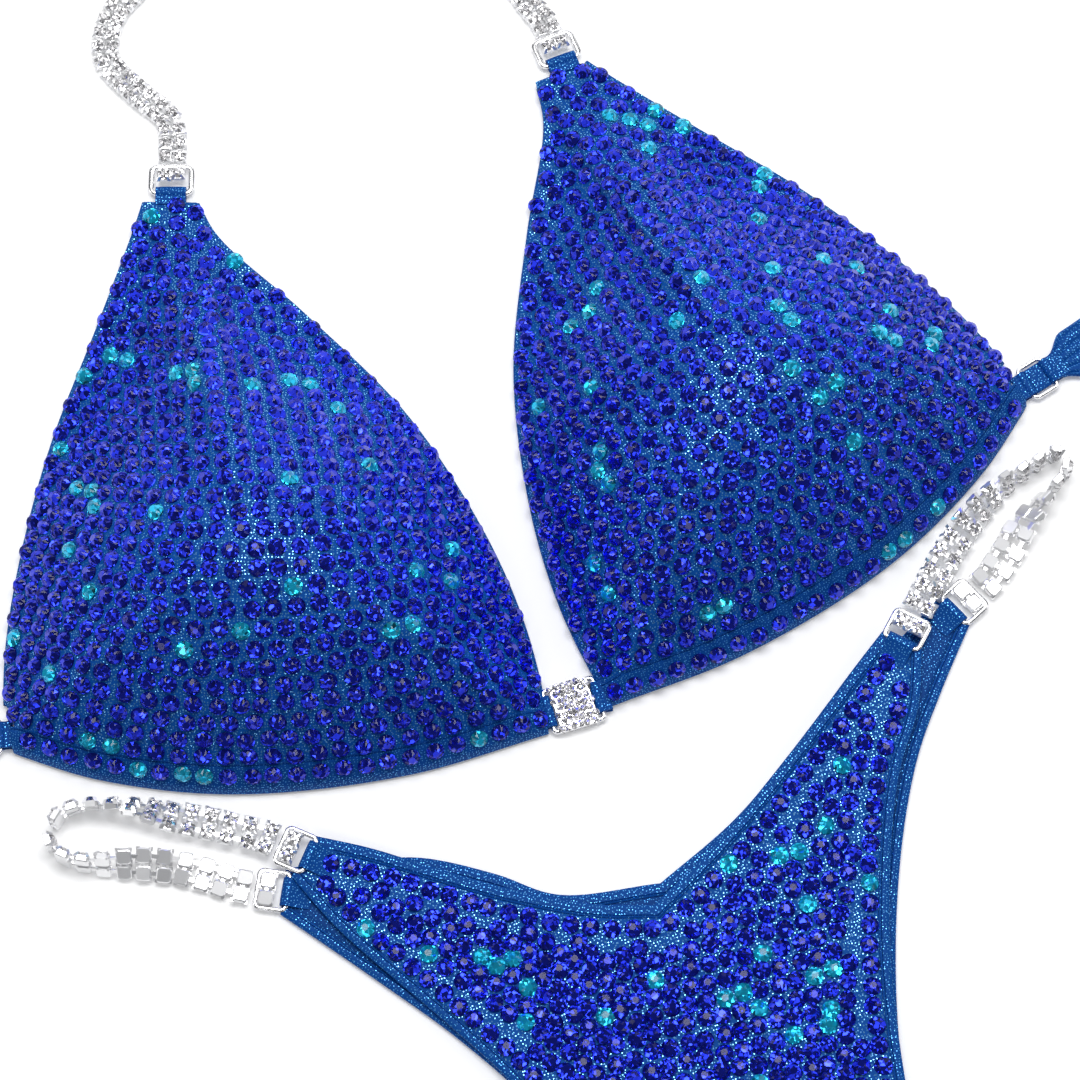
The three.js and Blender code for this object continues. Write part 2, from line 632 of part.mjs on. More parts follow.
const CLASP_THICK = 1.2;
const CLASP_WIRE = 1.5;
const CLASP_LENGTH = 12;
const CLASP_GAP = 0.45;
const NECK_CLASP_WIDTH = 9;
const CLASP_RADIUS = 1.8;

// A hook: a cross bar with a slot behind it, a shank, and a tongue turned back on one side.
function hook(width) {
  const w = CLASP_WIRE;
  const shape = new THREE.Shape();
  shape.moveTo(0, -width / 2).lineTo(w, -width / 2).lineTo(w, -w / 2).lineTo(CLASP_LENGTH - w, -w / 2);
  shape.lineTo(CLASP_LENGTH - w, -1.9 * w).lineTo(CLASP_LENGTH - 3 * w, -1.9 * w);
  shape.lineTo(CLASP_LENGTH - 3 * w, -2.9 * w).lineTo(CLASP_LENGTH, -2.9 * w);
  shape.lineTo(CLASP_LENGTH, w / 2).lineTo(w, w / 2).lineTo(w, width / 2).lineTo(0, width / 2);
  return new THREE.ExtrudeGeometry(shape, { depth: CLASP_THICK, bevelEnabled: false });
}

// An eye: a closed rectangle that the hook catches.
function eye(width) {
  const span = CLASP_LENGTH - 2 * CLASP_WIRE;
  const frame = ring({ width, span, wire: CLASP_WIRE, thick: CLASP_THICK, radius: CLASP_RADIUS });
  return frame.translate(CLASP_WIRE / 2, 0, CLASP_THICK / 2);
}

const leftNeckEnd = makeNeck("left", leftApex, LEFT_NECK_ROUTE);
const rightNeckEnd = makeNeck("right", rightApex, RIGHT_NECK_ROUTE);
const claspLift = restHeight(NECK_CHAIN, 0) - CLASP_THICK / 2;
add("neck_hook", atBar(hook(NECK_CLASP_WIDTH), leftNeckEnd, claspLift, CLASP_GAP), SILVER);
add("neck_eye", atBar(eye(NECK_CLASP_WIDTH), rightNeckEnd, claspLift, CLASP_GAP), SILVER);

// ---------------------------------------------------------------- back straps and clasp
function makeBack(side, frame) {
  const bar = sideBar(frame);
  add(`side_ring_${side}`, atBar(ring(SIDE_RING), bar, BAR_LIFT), SILVER);
  const far = farBar(bar, SIDE_RING.span);
  const tail = loopSetBack(boreRound(SIDE_RING)) + STRAP_TAIL;
  const facingRing = { at: far.at, degrees: far.degrees + 180 };
  const half = STRAP_THICK / 2;
  const loop = atBar(clothLoop(STRAP_NECK, boreRound(SIDE_RING), tail, -half, half), facingRing, BAR_LIFT);
  const offsets = from(onCup(CUP_SIDE.at), STRAP_ROUTE).map((p) => onTable(frame, p).toArray());
  const route = [farBar(far, tail - STRAP_LAP).at, ...offsets];
  const curve = new THREE.CatmullRomCurve3(route.map(([x, y]) => new THREE.Vector3(x, y, BAR_LIFT)));
  const stations = Array.from({ length: STRAP_STEPS + 1 }, (_, i) => {
    const share = i / STRAP_STEPS;
    const widen = THREE.MathUtils.smoothstep(share, 0, STRAP_WIDENS);
    return alongRoute(curve, share, 0, STRAP_NECK + (STRAP_WIDTH - STRAP_NECK) * widen, STRAP_THICK);
  });
  add(`back_strap_${side}`, joined(ribbon(stations), loop), SATIN_BLUE);
  return routeEnd(route);
}
const backLift = BAR_LIFT - CLASP_THICK / 2;
add("back_hook", atBar(hook(STRAP_WIDTH), makeBack("left", LEFT_CUP), backLift, SEAM_GAP), SILVER);
add("back_eye", atBar(eye(STRAP_WIDTH), makeBack("right", RIGHT_CUP), backLift, SEAM_GAP), SILVER);

// ---------------------------------------------------------------- bottom
const tabSetBack = loopSetBack(boreRound(HIP_RING));

// The bars of a panel's tabs, on the table.
const tabBars = (tabs) =>
  tabs.map(({ at, degrees }) => barOnTable(BOTTOM, { at: onBottom(at), degrees }));

// The outline of a panel: waist from left to right, then the legs, cut back behind its two tabs.
function panelOutline(waistLeft, waistRight, legRight, legLeft, tabs) {
  const outline = [
    ...spline(waistLeft, WAIST_STEPS).slice(0, -1),
    ...spline(waistRight, WAIST_STEPS),
    ...spline(legRight, LEG_STEPS),
    ...spline(legLeft, LEG_STEPS),
  ].map((p) => onTable(BOTTOM, onBottom(p.toArray())));
  return tabBars(tabs).reduce((points, bar) => clipBehind(points, bar, tabSetBack), outline);
}

function makePanel(side, outline, tabs, low, lift, layers) {
  const bars = tabBars(tabs);
  const kinds = edgeKinds(outline, (p, q) => {
    const [a, b] = [inFrame(BOTTOM, p), inFrame(BOTTOM, q)];
    const isFold = Math.max(a.y, b.y) < HEM_TOP - FOLD_DEPTH;
    if (isFold || isCutAt(bars, p, q)) return "cut";
    if (b.x > a.x) return "waist";
    return a.x + b.x > 0 ? "right" : "left";
  });
  const widths = { waist: WAIST_BINDING, right: LEG_BINDING, left: LEG_BINDING, cut: 0 };
  const body = insideBands(outline, kinds, widths);
  let base = low;
  for (const [name, thickness, look] of layers) {
    add(`${side}_${name}`, slab(body, base, base + thickness), look);
    base += thickness + PANEL_LAYER_GAP;
  }
  const high = low + CLOTH + PANEL_LAYER_GAP + LINING;
  const bands = {
    waist: `${side}_waist_binding`,
    right: `${side}_leg_right_binding`,
    left: `${side}_leg_left_binding`,
  };
  addBands(outline, kinds, widths, bands, low, high);
  const loop = () =>
    clothLoop(loopWidth(HIP_RING), boreRound(HIP_RING), tabSetBack - SEAM_GAP, low - lift, high - lift);
  ["right", "left"].forEach((hand, i) => {
    add(`${side}_tab_${hand}`, atBar(loop(), bars[i], lift), SATIN_BLUE);
    add(`${side}_hip_ring_${hand}`, atBar(ring(HIP_RING), bars[i], lift), SILVER);
  });
}

const backHigh = BACK_LAYER + CLOTH + PANEL_LAYER_GAP + LINING;
makePanel(
  "back",
  panelOutline(BACK_WAIST_LEFT, BACK_WAIST_RIGHT, BACK_LEG_RIGHT, BACK_LEG_LEFT, BACK_TABS),
  BACK_TABS, BACK_LAYER, BAR_LIFT,
  [["panel", CLOTH, SATIN_BLUE], ["lining", LINING, DEEP_BLUE]]
);
const frontLow = backHigh + PANEL_LAYER_GAP;
makePanel(
  "front",
  panelOutline(WAIST_LEFT, WAIST_RIGHT, LEG_RIGHT, LEG_LEFT, FRONT_TABS),
  FRONT_TABS, frontLow, FRONT_RING_LIFT,
  [["lining", LINING, DEEP_BLUE], ["panel", CLOTH, SATIN_BLUE], ["stones", STONE_RISE, SAPPHIRE]]
);

// The gusset wraps the fold between the two panels, just past their ends.
function makeGusset() {
  const high = frontLow + LINING + PANEL_LAYER_GAP + CLOTH;
  const middle = (BACK_LAYER + high) / 2;
  const half = (high - BACK_LAYER) / 2;
  const shape = new THREE.Shape();
  shape.moveTo(0, half).lineTo(0, -half);
  shape.quadraticCurveTo(-FOLD_RADIUS, -half, -FOLD_RADIUS, 0);
  shape.quadraticCurveTo(-FOLD_RADIUS, half, 0, half);
  const [endX, foldY] = onBottom(LEG_RIGHT.at(-1));
  const options = { depth: 2 * endX, bevelEnabled: false, curveSegments: 4 };
  const geometry = new THREE.ExtrudeGeometry(shape, options).translate(0, 0, -endX).rotateX(Math.PI / 2);
  const bar = barOnTable(BOTTOM, { at: [0, foldY - 2 * SEAM_GAP], degrees: 90 });
  add("crotch_gusset", atBar(geometry, bar, middle), DEEP_BLUE);
}
makeGusset();

// ---------------------------------------------------------------- hip chains
const FRONT_ROLL = [0, 90]; // stones up at the ring
const BACK_ROLL = [180, 90]; // backs of the cups up at the ring
const frontBars = tabBars(FRONT_TABS);
const backBars = tabBars(BACK_TABS);

function makeHipChain(hand, frontBar, backBar, out, back) {
  const front = [...chainLead(frontBar, HIP_RING), ...from(frontBar.at, out)];
  const rear = [...chainLead(backBar, HIP_RING), ...from(frontBar.at, back).reverse()];
  const over = { rolls: FRONT_ROLL, settle: FRONT_SETTLE };
  const frontRun = chainRun(front, HIP_CHAIN, FRONT_RING_LIFT, over);
  add(`hip_chain_front_${hand}`, frontRun, CLEAR_STONE);
  add(`hip_chain_back_${hand}`, chainRun(rear, HIP_CHAIN, BAR_LIFT, { rolls: BACK_ROLL }), CLEAR_STONE);
}
makeHipChain("right", frontBars[0], backBars[0], RIGHT_HIP_OUT, RIGHT_HIP_BACK);
makeHipChain("left", frontBars[1], backBars[1], LEFT_HIP_OUT, LEFT_HIP_BACK);

export default suit;
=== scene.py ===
"""A two-piece rhinestone stage suit laid flat: padded triangle cups, jewelled chains and a bottom.

Lengths are in millimetres until new_mesh turns them into metres. The row frame has its origin
under the centre connector, +X to the right cup, +Y towards the neck and +Z up off the table.
"""

import math

import bpy
import numpy as np
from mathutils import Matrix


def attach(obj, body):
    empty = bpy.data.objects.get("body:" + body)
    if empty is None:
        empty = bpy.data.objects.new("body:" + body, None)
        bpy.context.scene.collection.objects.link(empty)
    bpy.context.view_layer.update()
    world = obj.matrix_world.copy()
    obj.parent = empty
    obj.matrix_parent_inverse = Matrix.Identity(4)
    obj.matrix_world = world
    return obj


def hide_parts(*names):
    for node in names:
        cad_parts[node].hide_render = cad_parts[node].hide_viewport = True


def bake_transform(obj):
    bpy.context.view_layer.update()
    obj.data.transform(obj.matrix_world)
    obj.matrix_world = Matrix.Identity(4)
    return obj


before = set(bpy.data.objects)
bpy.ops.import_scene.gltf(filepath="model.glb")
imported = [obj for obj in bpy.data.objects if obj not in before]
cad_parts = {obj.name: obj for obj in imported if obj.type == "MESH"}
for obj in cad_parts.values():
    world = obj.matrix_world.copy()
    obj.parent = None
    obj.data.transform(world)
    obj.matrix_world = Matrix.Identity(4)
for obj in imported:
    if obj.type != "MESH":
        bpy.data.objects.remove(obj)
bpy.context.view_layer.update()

MM = 0.001
RNG = np.random.default_rng(7)
UP = np.array([0.0, 0.0, 1.0])

# ------------------------------------------------------------------ sizes of the suit
CUP_PEAK = np.array([76.0, 44.0])
CUP_APEX = np.array([101.0, 162.0])
CUP_DOME = 34.0
FOAM_CROWN = 5.0
LINING_LEVELS, PAD_LEVELS, CLOTH_LEVELS = (0.2, 0.7), (1.0, 1.8), (2.1, 2.8)  # each layer's two faces
SIDE_POWER, APEX_POWER, APEX_FOCUS = 1.1, 2.2, 3
HEM_BAND, EDGE_BINDING = 6.5, 2.2
HEM_POINTS, OUTER_POINTS, INNER_POINTS = 61, 67, 81  # how finely each line of a cup's outline is drawn
HEM_INSIDE, OUTER_INSIDE = slice(0, HEM_POINTS), slice(HEM_POINTS, HEM_POINTS + OUTER_POINTS - 2)
INNER_INSIDE = slice(HEM_POINTS + OUTER_POINTS, None)
HEM_LINE = [(0, 0), (38, -10.2), (84, -14), (120, -9), (146, 0)]
OUTER_LINE = [(146, 0), (146, 27), (142, 55), (134, 87), (122, 120), (111.5, 150), (108.5, 160)]
INNER_LINE = [(94, 159), (88, 147), (64, 123), (36, 92), (16, 58), (5.5, 31), (0.6, 8), (0, 0)]
CUP_SIDE = {"at": (146.8, 3.9), "degrees": -4.1}

PLATE_LENGTH, PLATE_WIDTH, PLATE_DEGREES = 10.0, 13.0, 17.0
PLATE_TOP = 3.15
PAVE_ACROSS, PAVE_DOWN, PAVE_RADIUS, PAVE_SHIFT = 6, 7, 1.08, 0.525  # the plate's packed stones
BAR_SPACING, BAR_RADIUS, BAR_LIFT = 14.0, 0.7, 1.95
LOOP_LEVELS, STRAP_LOOP_LEVELS = (-1.7, 1.4), (-1.2, 1.2)  # a loop's two tails, about its bar's height
APEX_LOOP, CENTRE_LOOP, SIDE_LOOP, TAB_LOOP = 8.5, 8.6, 7.2, 7.6  # widths of the cloth loops
LOOP_TAIL, CENTRE_TAIL, STRAP_TAIL, TAB_TAIL = 2.6, 2.2, 4.5, 6.5  # how far a loop's cloth runs back
LOOP_BACK = 2.1  # from a loop's bore back to the edge of the cloth it comes from
BAR_FADE = 3.5  # how far beside a bar its trimming of the cloth fades out
NECK_RING = {"width": 12.8, "span": 8.0, "wire": 1.6, "thick": 1.2, "radius": 2.4}
SIDE_RING = {"width": 10.8, "span": 7.7, "wire": 1.2, "thick": 1.2, "radius": 2.0}
HIP_RING = {"width": 11.4, "span": 8.2, "wire": 1.3, "thick": 1.2, "radius": 2.0}

NECK_CHAIN = {"row": 4.0, "pitch": 4.1, "cup": 3.7, "deep": 3.0}
HIP_CHAIN = {"row": 4.7, "pitch": 5.5, "cup": 4.0, "deep": 3.0}
CHAIN_END_GAP, CHAIN_LEAD = 1.3, 4.0
LINK_SIZE, LINK_DROP = (1.1, 0.5), 0.6  # a link's width and thickness, and how far it lies below
CHAIN_POINTS = 900  # how finely a chain's route is drawn
CHAIN_SWAY, CHAIN_TWIST = 0.12, 0.10  # how unevenly the cups of a chain sit
CHAIN_SETTLE, FRONT_SETTLE, HIP_ROLL = (0, 0.15), (0.4, 0.8), (0.25, 0.9)
NECK_SPLIT, NECK_PART, NECK_END = 0.48, 0.008, 0.985
ON_RING_BACK, ON_RING_UP = 2.6, 1.4  # the pair of cups that an end link folds over a ring
LEFT_NECK_ROUTE = [
    (-1.3, 22.5), (-10.4, 31), (-19.5, 41.7), (-18.4, 54.7), (-9.4, 67),
    (9.6, 94), (26.6, 125), (32.6, 142), (37.6, 154),
]
RIGHT_NECK_ROUTE = [
    (-9.8, 19.1), (-16.1, 31.4), (-20.1, 46.4), (-18.1, 62.4), (-11.1, 77.4),
    (-8.1, 93.4), (-14.1, 108.4), (-26.1, 118.4), (-41.1, 122.4),
]
CUPS = {
    "left": {
        "corner": (-6.6, -7.9), "degrees": 181.8, "mirror": -1,
        "apex": {"at": (101, 160.1), "degrees": 91.8}, "neck": LEFT_NECK_ROUTE,
    },
    "right": {
        "corner": (10.4, -0.2), "degrees": 37.1, "mirror": 1,
        "apex": {"at": (103.9, 159.4), "degrees": 74.9}, "neck": RIGHT_NECK_ROUTE,
    },
}
STRAP_ROUTE = [
    (16.2, -1), (29.2, -1.1), (48.2, 2.1), (71.2, 11.1), (91.2, 26.1), (107.2, 46.1), (117.2, 69.1),
]
STRAP_WIDTH, STRAP_NECK, STRAP_THICK = 15.0, 7.6, 2.4
TONGUE_RUN, TONGUE_SIZE = (1.6, 3.8, 6.0), (7.4, 1.7)  # the strap's end, seen through its ring

BOTTOM = {"corner": (10.3, -14.9), "degrees": 20.4, "mirror": 1}
WAIST = [
    (-81.5, 7.5), (-69.2, -0.5), (-57.9, -9.1), (-37.1, -24.6), (-18.4, -35.7), (-4, -41.3),
    (10.7, -34.6), (26.2, -26.5), (48.8, -12.9), (70.3, 1), (80.7, 7.5),
]
LEG_RIGHT = [
    (89, -0.5), (82.2, -15), (70, -31), (59, -52), (47.1, -83), (36, -130), (28, -185), (26, -225),
]
LEG_LEFT = [
    (-91, -1), (-84.6, -17.5), (-77, -32), (-65, -53.5), (-54.3, -75), (-37, -130), (-28, -185),
    (-26, -225),
]
BACK_WAIST = [
    (-91.5, 2.4), (-74, -2.2), (-57.2, -7.4), (-40, -18.5), (-26.4, -29.5), (0, -36), (24, -27),
    (46, -15), (70, -3), (100, 12),
]
BACK_LEG_RIGHT = [
    (104, 1.5), (90.3, -12.5), (76, -29), (60, -56), (45, -92), (34, -135), (27, -185), (25.5, -225),
]
BACK_LEG_LEFT = [
    (-97, -9), (-78, -36), (-64, -57), (-52, -80), (-36, -130), (-27, -185), (-25.5, -225),
]
FRONT_TABS = {"right": {"at": (83.9, 2.6), "degrees": 41.6}, "left": {"at": (-84.6, 2.6), "degrees": 136.6}}
BACK_TABS = {"right": {"at": (101, 6.2), "degrees": 22}, "left": {"at": (-93.2, -4.2), "degrees": 151.6}}
WAIST_BAND, LEG_BAND, TAB_BAND = 3.6, 3.0, 0.4
WAIST_POINTS, LEG_POINTS = 91, 101  # how finely each line of a panel's outline is drawn
WAIST_RUN, RIGHT_LEG_RUN, LEFT_LEG_RUN = np.split(
    np.arange(WAIST_POINTS + 2 * LEG_POINTS), [WAIST_POINTS, WAIST_POINTS + LEG_POINTS]
)
BACK_LOW, FRONT_LOW, FRONT_LIFT = 0.2, 2.2, 4.2
PANEL_LEVELS, PANEL_TRIM_UP = ((0.0, 0.5), (0.9, 1.6)), 1.9  # each layer's two faces, and its binding's top
PANEL_CENTRE = np.array([0.0, -68.0])
FOLD_AT, FOLD_HALF = -225.4, 26.0
HIP_OUT = {
    "left": [
        (-21.6, 7.6), (-29.5, 9.4), (-37.5, 11), (-45.5, 13.2), (-53.6, 14.3), (-60.6, 13.8),
        (-66.5, 11.4), (-68.9, 7.8),
    ],
    "right": [(13.1, 24.2), (20.3, 34.8), (28.8, 43.6), (38.2, 50.2), (43.5, 53.4), (46.6, 53.6)],
}
HIP_BACK = {
    "left": [
        (-69.1, 6.2), (-67.7, 2.2), (-63.1, -0.8), (-56.1, -2.1), (-45.1, -1.9), (-34.4, -2.9),
        (-26.5, -4.9),
    ],
    "right": [(47.4, 52.2), (46.6, 48.4), (43.2, 43.8), (38.8, 38.6), (33.9, 32.6), (30.3, 26.5)],
}

STONE_RADIUS = 2.46
STONE_HEIGHT = 2.0
STONE_TABLE_UP = 0.8  # the height of the drawn stone's table over its girdle's plane
FOIL_TIP = (5, 45)  # degrees that an inner facet tips away from the stone's normal
CUP_STONE_STEP = 6.0  # along a row
CUP_ROW_STEP = 5.3  # between rows, over the surface
HEM_ROW_UP = {"left": 5.0, "right": 3.4}  # from the hem's edge up to its own row, over the surface
NEXT_ROW_UP = 11.3  # from the hem's edge up to the first row above its seam
HEM_STONE_EDGE = 0.3  # from the hem's edge to the nearest a stone may sit, laid flat
HEM_SEAM_WIDTH = 6.6
CUP_STONE_EDGE = 2.1
PANEL_STONE_STEP = 5.15
PANEL_WAIST_STRIP, PANEL_LEG_STRIP = 2.7, 2.4
PANEL_STONE_UP = 3.75
PANEL_CROWDED, PANEL_CLEAR = 4.6, 4.5  # how near two stones may be in the edge rows, and to them
ROW_SCATTER, CUP_SCATTER, PANEL_SCATTER = 0.22, 0.16, 0.26
DOT_CRISPNESS = 14  # how sharp the edge of a foil dot is
AQUA_SHARE, AQUA_PAIRS = 0.058, 0.25  # of all stones, and of aqua ones that have one beside them


CAMERA_AT, CAMERA_TILT, CAMERA_LENS = (-0.0090, -0.2664, 0.9651), 18, 124  # metres, degrees, mm


# ------------------------------------------------------------------ points and curves
def on_table(place, points):
    """Points drawn in a flat frame: mirrored across its chord, turned by its angle, then moved."""
    points = np.asarray(points, float)
    c, s = math.cos(math.radians(place["degrees"])), math.sin(math.radians(place["degrees"]))
    x, y = points[..., 0], points[..., 1] * place["mirror"]
    return np.stack([place["corner"][0] + x * c - y * s, place["corner"][1] + x * s + y * c], -1)


def bar_on_table(place, bar):
    """A bar given in a flat frame: its centre and its outward angle on the table."""
    return {"at": on_table(place, bar["at"]), "degrees": place["degrees"] + place["mirror"] * bar["degrees"]}


def outward(bar):
    """The unit direction from the garment outwards across a bar."""
    angle = math.radians(bar["degrees"])
    return np.array([math.cos(angle), math.sin(angle)])


def far_bar(bar, distance):
    """The bar moved outwards by a distance."""
    return {"at": bar["at"] + distance * outward(bar), "degrees": bar["degrees"]}


def run_along(path):
    """How far each point of a path is from its first point, measured along it."""
    return np.concatenate([[0], np.cumsum(np.linalg.norm(np.diff(path, axis=0), axis=1))])


def crossed(along, around):
    """A grid of pairs: a value from along for each row, and one from around for each place in it."""
    return np.stack(np.broadcast_arrays(along[:, None], around), -1)


def resample(curve, count):
    """The curve's points moved to equal steps along its length."""
    length = run_along(curve)
    wanted = np.linspace(0, length[-1], count)
    return np.stack([np.interp(wanted, length, curve[:, k]) for k in range(curve.shape[1])], -1)


def spline(points, count):
    """A centripetal Catmull-Rom curve through the points: knots grow by the root of each span."""
    given = np.asarray(points, float)
    p = np.vstack([2 * given[0] - given[1], given, 2 * given[-1] - given[-2]])
    spans = np.sqrt(np.linalg.norm(np.diff(p, axis=0), axis=1))
    knots = np.concatenate([[0], np.cumsum(spans)])
    last = len(p) - 3
    t0, t1, t2, t3 = (knots[i:last + i, None] for i in range(4))
    p0, p1, p2, p3 = (p[i:last + i, None] for i in range(4))
    t = t1 + (t2 - t1) * np.linspace(0, 1, 24, endpoint=False)

    def mix(a, b, ta, tb):
        share = ((t - ta) / (tb - ta))[..., None]
        return (1 - share) * a + share * b

    a1, a2, a3 = mix(p0, p1, t0, t1), mix(p1, p2, t1, t2), mix(p2, p3, t2, t3)
    b1, b2 = mix(a1, a2, t0, t2), mix(a2, a3, t1, t3)
    curve = np.vstack([mix(b1, b2, t1, t2).reshape(-1, given.shape[1]), given[-1:]])
    return resample(curve, count)


def smoothstep(x, low, high):
    """0 below low, 1 above high, and 3t^2 - 2t^3 between."""
    t = np.clip((x - low) / (high - low), 0, 1)
    return t * t * (3 - 2 * t)


def cross(a, b):
    """The z of the cross product of flat vectors."""
    return a[..., 0] * b[..., 1] - a[..., 1] * b[..., 0]


def area_of(points):
    """The signed area inside a closed outline, by the shoelace sum."""
    return 0.5 * np.sum(cross(points, np.roll(points, -1, 0)))


def inset(points, distances):
    """A closed outline moved inwards, each edge by its own distance, with mitred corners."""
    turn = np.sign(area_of(points))
    along = np.roll(points, -1, 0) - points
    along = along / np.linalg.norm(along, axis=1, keepdims=True)
    through = points + turn * np.stack([-along[:, 1], along[:, 0]], -1) * np.asarray(distances)[:, None]
    before, back = np.roll(through, 1, 0), np.roll(along, 1, 0)
    bend = cross(back, along)
    straight = np.abs(bend) < 0.02
    t = cross(through - before, along) / np.where(straight, 1, bend)
    return np.where(straight[:, None], through, before + back * t[:, None])


def inside(points, outline):
    """Whether each point is inside a closed outline, by counting the edges a ray to +x crosses."""
    a, b = outline, np.roll(outline, -1, 0)
    x, y = points[:, None, 0], points[:, None, 1]
    spans = (a[:, 1] > y) != (b[:, 1] > y)
    rise = np.where(b[:, 1] == a[:, 1], 1, b[:, 1] - a[:, 1])
    hits = x < a[:, 0] + (y - a[:, 1]) * (b[:, 0] - a[:, 0]) / rise
    return np.sum(spans & hits, axis=1) % 2 == 1


# ------------------------------------------------------------------ meshes
def new_mesh(name, points, corners, sizes, material, body, uv=None, smooth=True):
    """A mesh object from points in millimetres, face corners one after another, and face sizes."""
    mesh = bpy.data.meshes.new(name)
    points = np.asarray(points, float).reshape(-1, 3)
    corners = np.asarray(corners, int)
    mesh.vertices.add(len(points))
    mesh.vertices.foreach_set("co", (points * MM).ravel())
    mesh.loops.add(len(corners))
    mesh.loops.foreach_set("vertex_index", corners)
    mesh.polygons.add(len(sizes))
    mesh.polygons.foreach_set("loop_start", np.concatenate([[0], np.cumsum(sizes)[:-1]]))
    mesh.update(calc_edges=True)
    mesh.polygons.foreach_set("use_smooth", np.full(len(sizes), smooth))
    if smooth:
        mesh.set_sharp_from_angle(angle=math.radians(38))
    if uv is not None:
        layer = mesh.uv_layers.new(name="cloth")
        layer.data.foreach_set("uv", np.asarray(uv, float).reshape(-1, 2)[corners].ravel())
    mesh.materials.append(material)
    piece = bpy.data.objects.new(name, mesh)
    bpy.context.scene.collection.objects.link(piece)
    if body is not None:
        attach(piece, body)
    return piece


def grid_quads(rows, columns, wrap_rows, wrap_columns):
    """The quads of a grid of points, row by row."""
    down = np.arange(rows if wrap_rows else rows - 1)
    over = np.arange(columns if wrap_columns else columns - 1)
    i, j = np.meshgrid(down, over, indexing="ij")
    after, beside = (i + 1) % rows, (j + 1) % columns
    quads = [i * columns + j, i * columns + beside, after * columns + beside, after * columns + j]
    return np.stack(quads, -1).reshape(-1, 4)


def closed_grid(name, rows, material, body, uv=None, poles=False):
    """A closed solid from rows of points that each go once round, its first and last row filled.

    With poles, the two end rows shrink to a point of their own and are closed by triangles."""
    rows = np.asarray(rows, float)
    count, around = rows.shape[:2]
    quads = grid_quads(count, around, False, True)
    points = rows.reshape(-1, 3)
    ring = np.arange(around)
    first, last = ring, (count - 1) * around + ring
    if poles:
        top, bottom = len(points), len(points) + 1
        points = np.vstack([points, rows[0].mean(0), rows[-1].mean(0)])
        if uv is not None:
            uv = np.asarray(uv, float)
            uv = np.vstack([uv.reshape(-1, 2), uv[0].mean(0), uv[-1].mean(0)])
        fans = [
            np.stack([np.roll(first, -1), first, np.full(around, top)], -1),
            np.stack([last, np.roll(last, -1), np.full(around, bottom)], -1),
        ]
        corners = np.concatenate([quads.ravel(), *[f.ravel() for f in fans]])
        sizes = np.concatenate([np.full(len(quads), 4), np.full(2 * around, 3)])
    else:
        corners = np.concatenate([quads.ravel(), first[::-1], last])
        sizes = np.concatenate([np.full(len(quads), 4), [around, around]])
    return new_mesh(name, points, corners, sizes, material, body, uv)


def swept(name, path, side, up, profile, material, body, scale=None, closed=False):
    """A closed profile (x across, y up) carried along a path with a side and an up at each point.

    UVs are the distance along the path and the distance round the profile, in millimetres."""
    path, profile = np.asarray(path, float), np.asarray(profile, float)
    side, up = np.broadcast_to(side, path.shape), np.broadcast_to(up, path.shape)
    scale = np.ones((len(path), 2)) if scale is None else scale
    offset = profile[None] * scale[:, None]
    rows = path[:, None] + side[:, None] * offset[..., :1] + up[:, None] * offset[..., 1:]
    round_about = np.cumsum(np.linalg.norm(np.diff(offset, axis=1, prepend=offset[:, :1]), axis=2), 1)
    uv = crossed(run_along(path), round_about)
    if not closed:
        return closed_grid(name, rows, material, body, uv)
    quads = grid_quads(len(path), len(profile), True, True)
    return new_mesh(name, rows, quads.ravel(), np.full(len(quads), 4), material, body, uv)


def repeat_shape(name, shape, faces, centres, first, second, normal, material, body):
    """One mesh of a shape repeated at many places, each with its own three axes."""
    points = (
        centres[:, None]
        + first[:, None] * shape[None, :, :1]
        + second[:, None] * shape[None, :, 1:2]
        + normal[:, None] * shape[None, :, 2:]
    )
    sizes = np.array([len(face) for face in faces])
    flat = np.concatenate([np.array(face) for face in faces])
    corners = (flat[None] + len(shape) * np.arange(len(centres))[:, None]).ravel()
    return new_mesh(name, points, corners, np.tile(sizes, len(centres)), material, body, smooth=False)


def superellipse(width, height, power=4, count=16):
    """A rounded box outline: |x|^n + |y|^n = 1 stretched to a width and a height, anticlockwise.

    It starts at its lowest point, so that a seam in the cloth's UVs lies underneath."""
    angle = np.linspace(-math.pi / 2, 1.5 * math.pi, count, endpoint=False)
    c, s = np.cos(angle), np.sin(angle)
    x = np.sign(c) * np.abs(c) ** (2 / power) * width / 2
    y = np.sign(s) * np.abs(s) ** (2 / power) * height / 2
    return np.stack([x, y], -1)


def frames_along(path):
    """For a path: the level side of each point, to the right of its direction."""
    tangent = np.gradient(path, axis=0)
    tangent = tangent / np.linalg.norm(tangent, axis=1, keepdims=True)
    side = np.cross(tangent, UP)
    return tangent, side / np.linalg.norm(side, axis=1, keepdims=True)


def lifted(points, height):
    """Flat points with a height added."""
    height = np.broadcast_to(np.asarray(height, float), points.shape[:-1])
    return np.concatenate([points, height[..., None]], -1)


# ------------------------------------------------------------------ materials
def new_material(name, **values):
    """A Principled material with constants on its own sockets."""
    material = bpy.data.materials.new(name)
    material.use_nodes = True
    shader = material.node_tree.nodes["Principled BSDF"]
    for socket, value in values.items():
        shader.inputs[socket.replace("_", " ")].default_value = value
    return material, material.node_tree, shader


def add_node(tree, kind, given=None, **settings):
    """A shader node of a kind with its settings. Each input named or numbered in given takes a
    socket, by a link, or a plain value."""
    node = tree.nodes.new("ShaderNode" + kind)
    for setting, value in settings.items():
        setattr(node, setting, value)
    for key, value in (given or {}).items():
        if isinstance(value, bpy.types.NodeSocket):
            tree.links.new(value, node.inputs[key])
        else:
            node.inputs[key].default_value = value
    return node


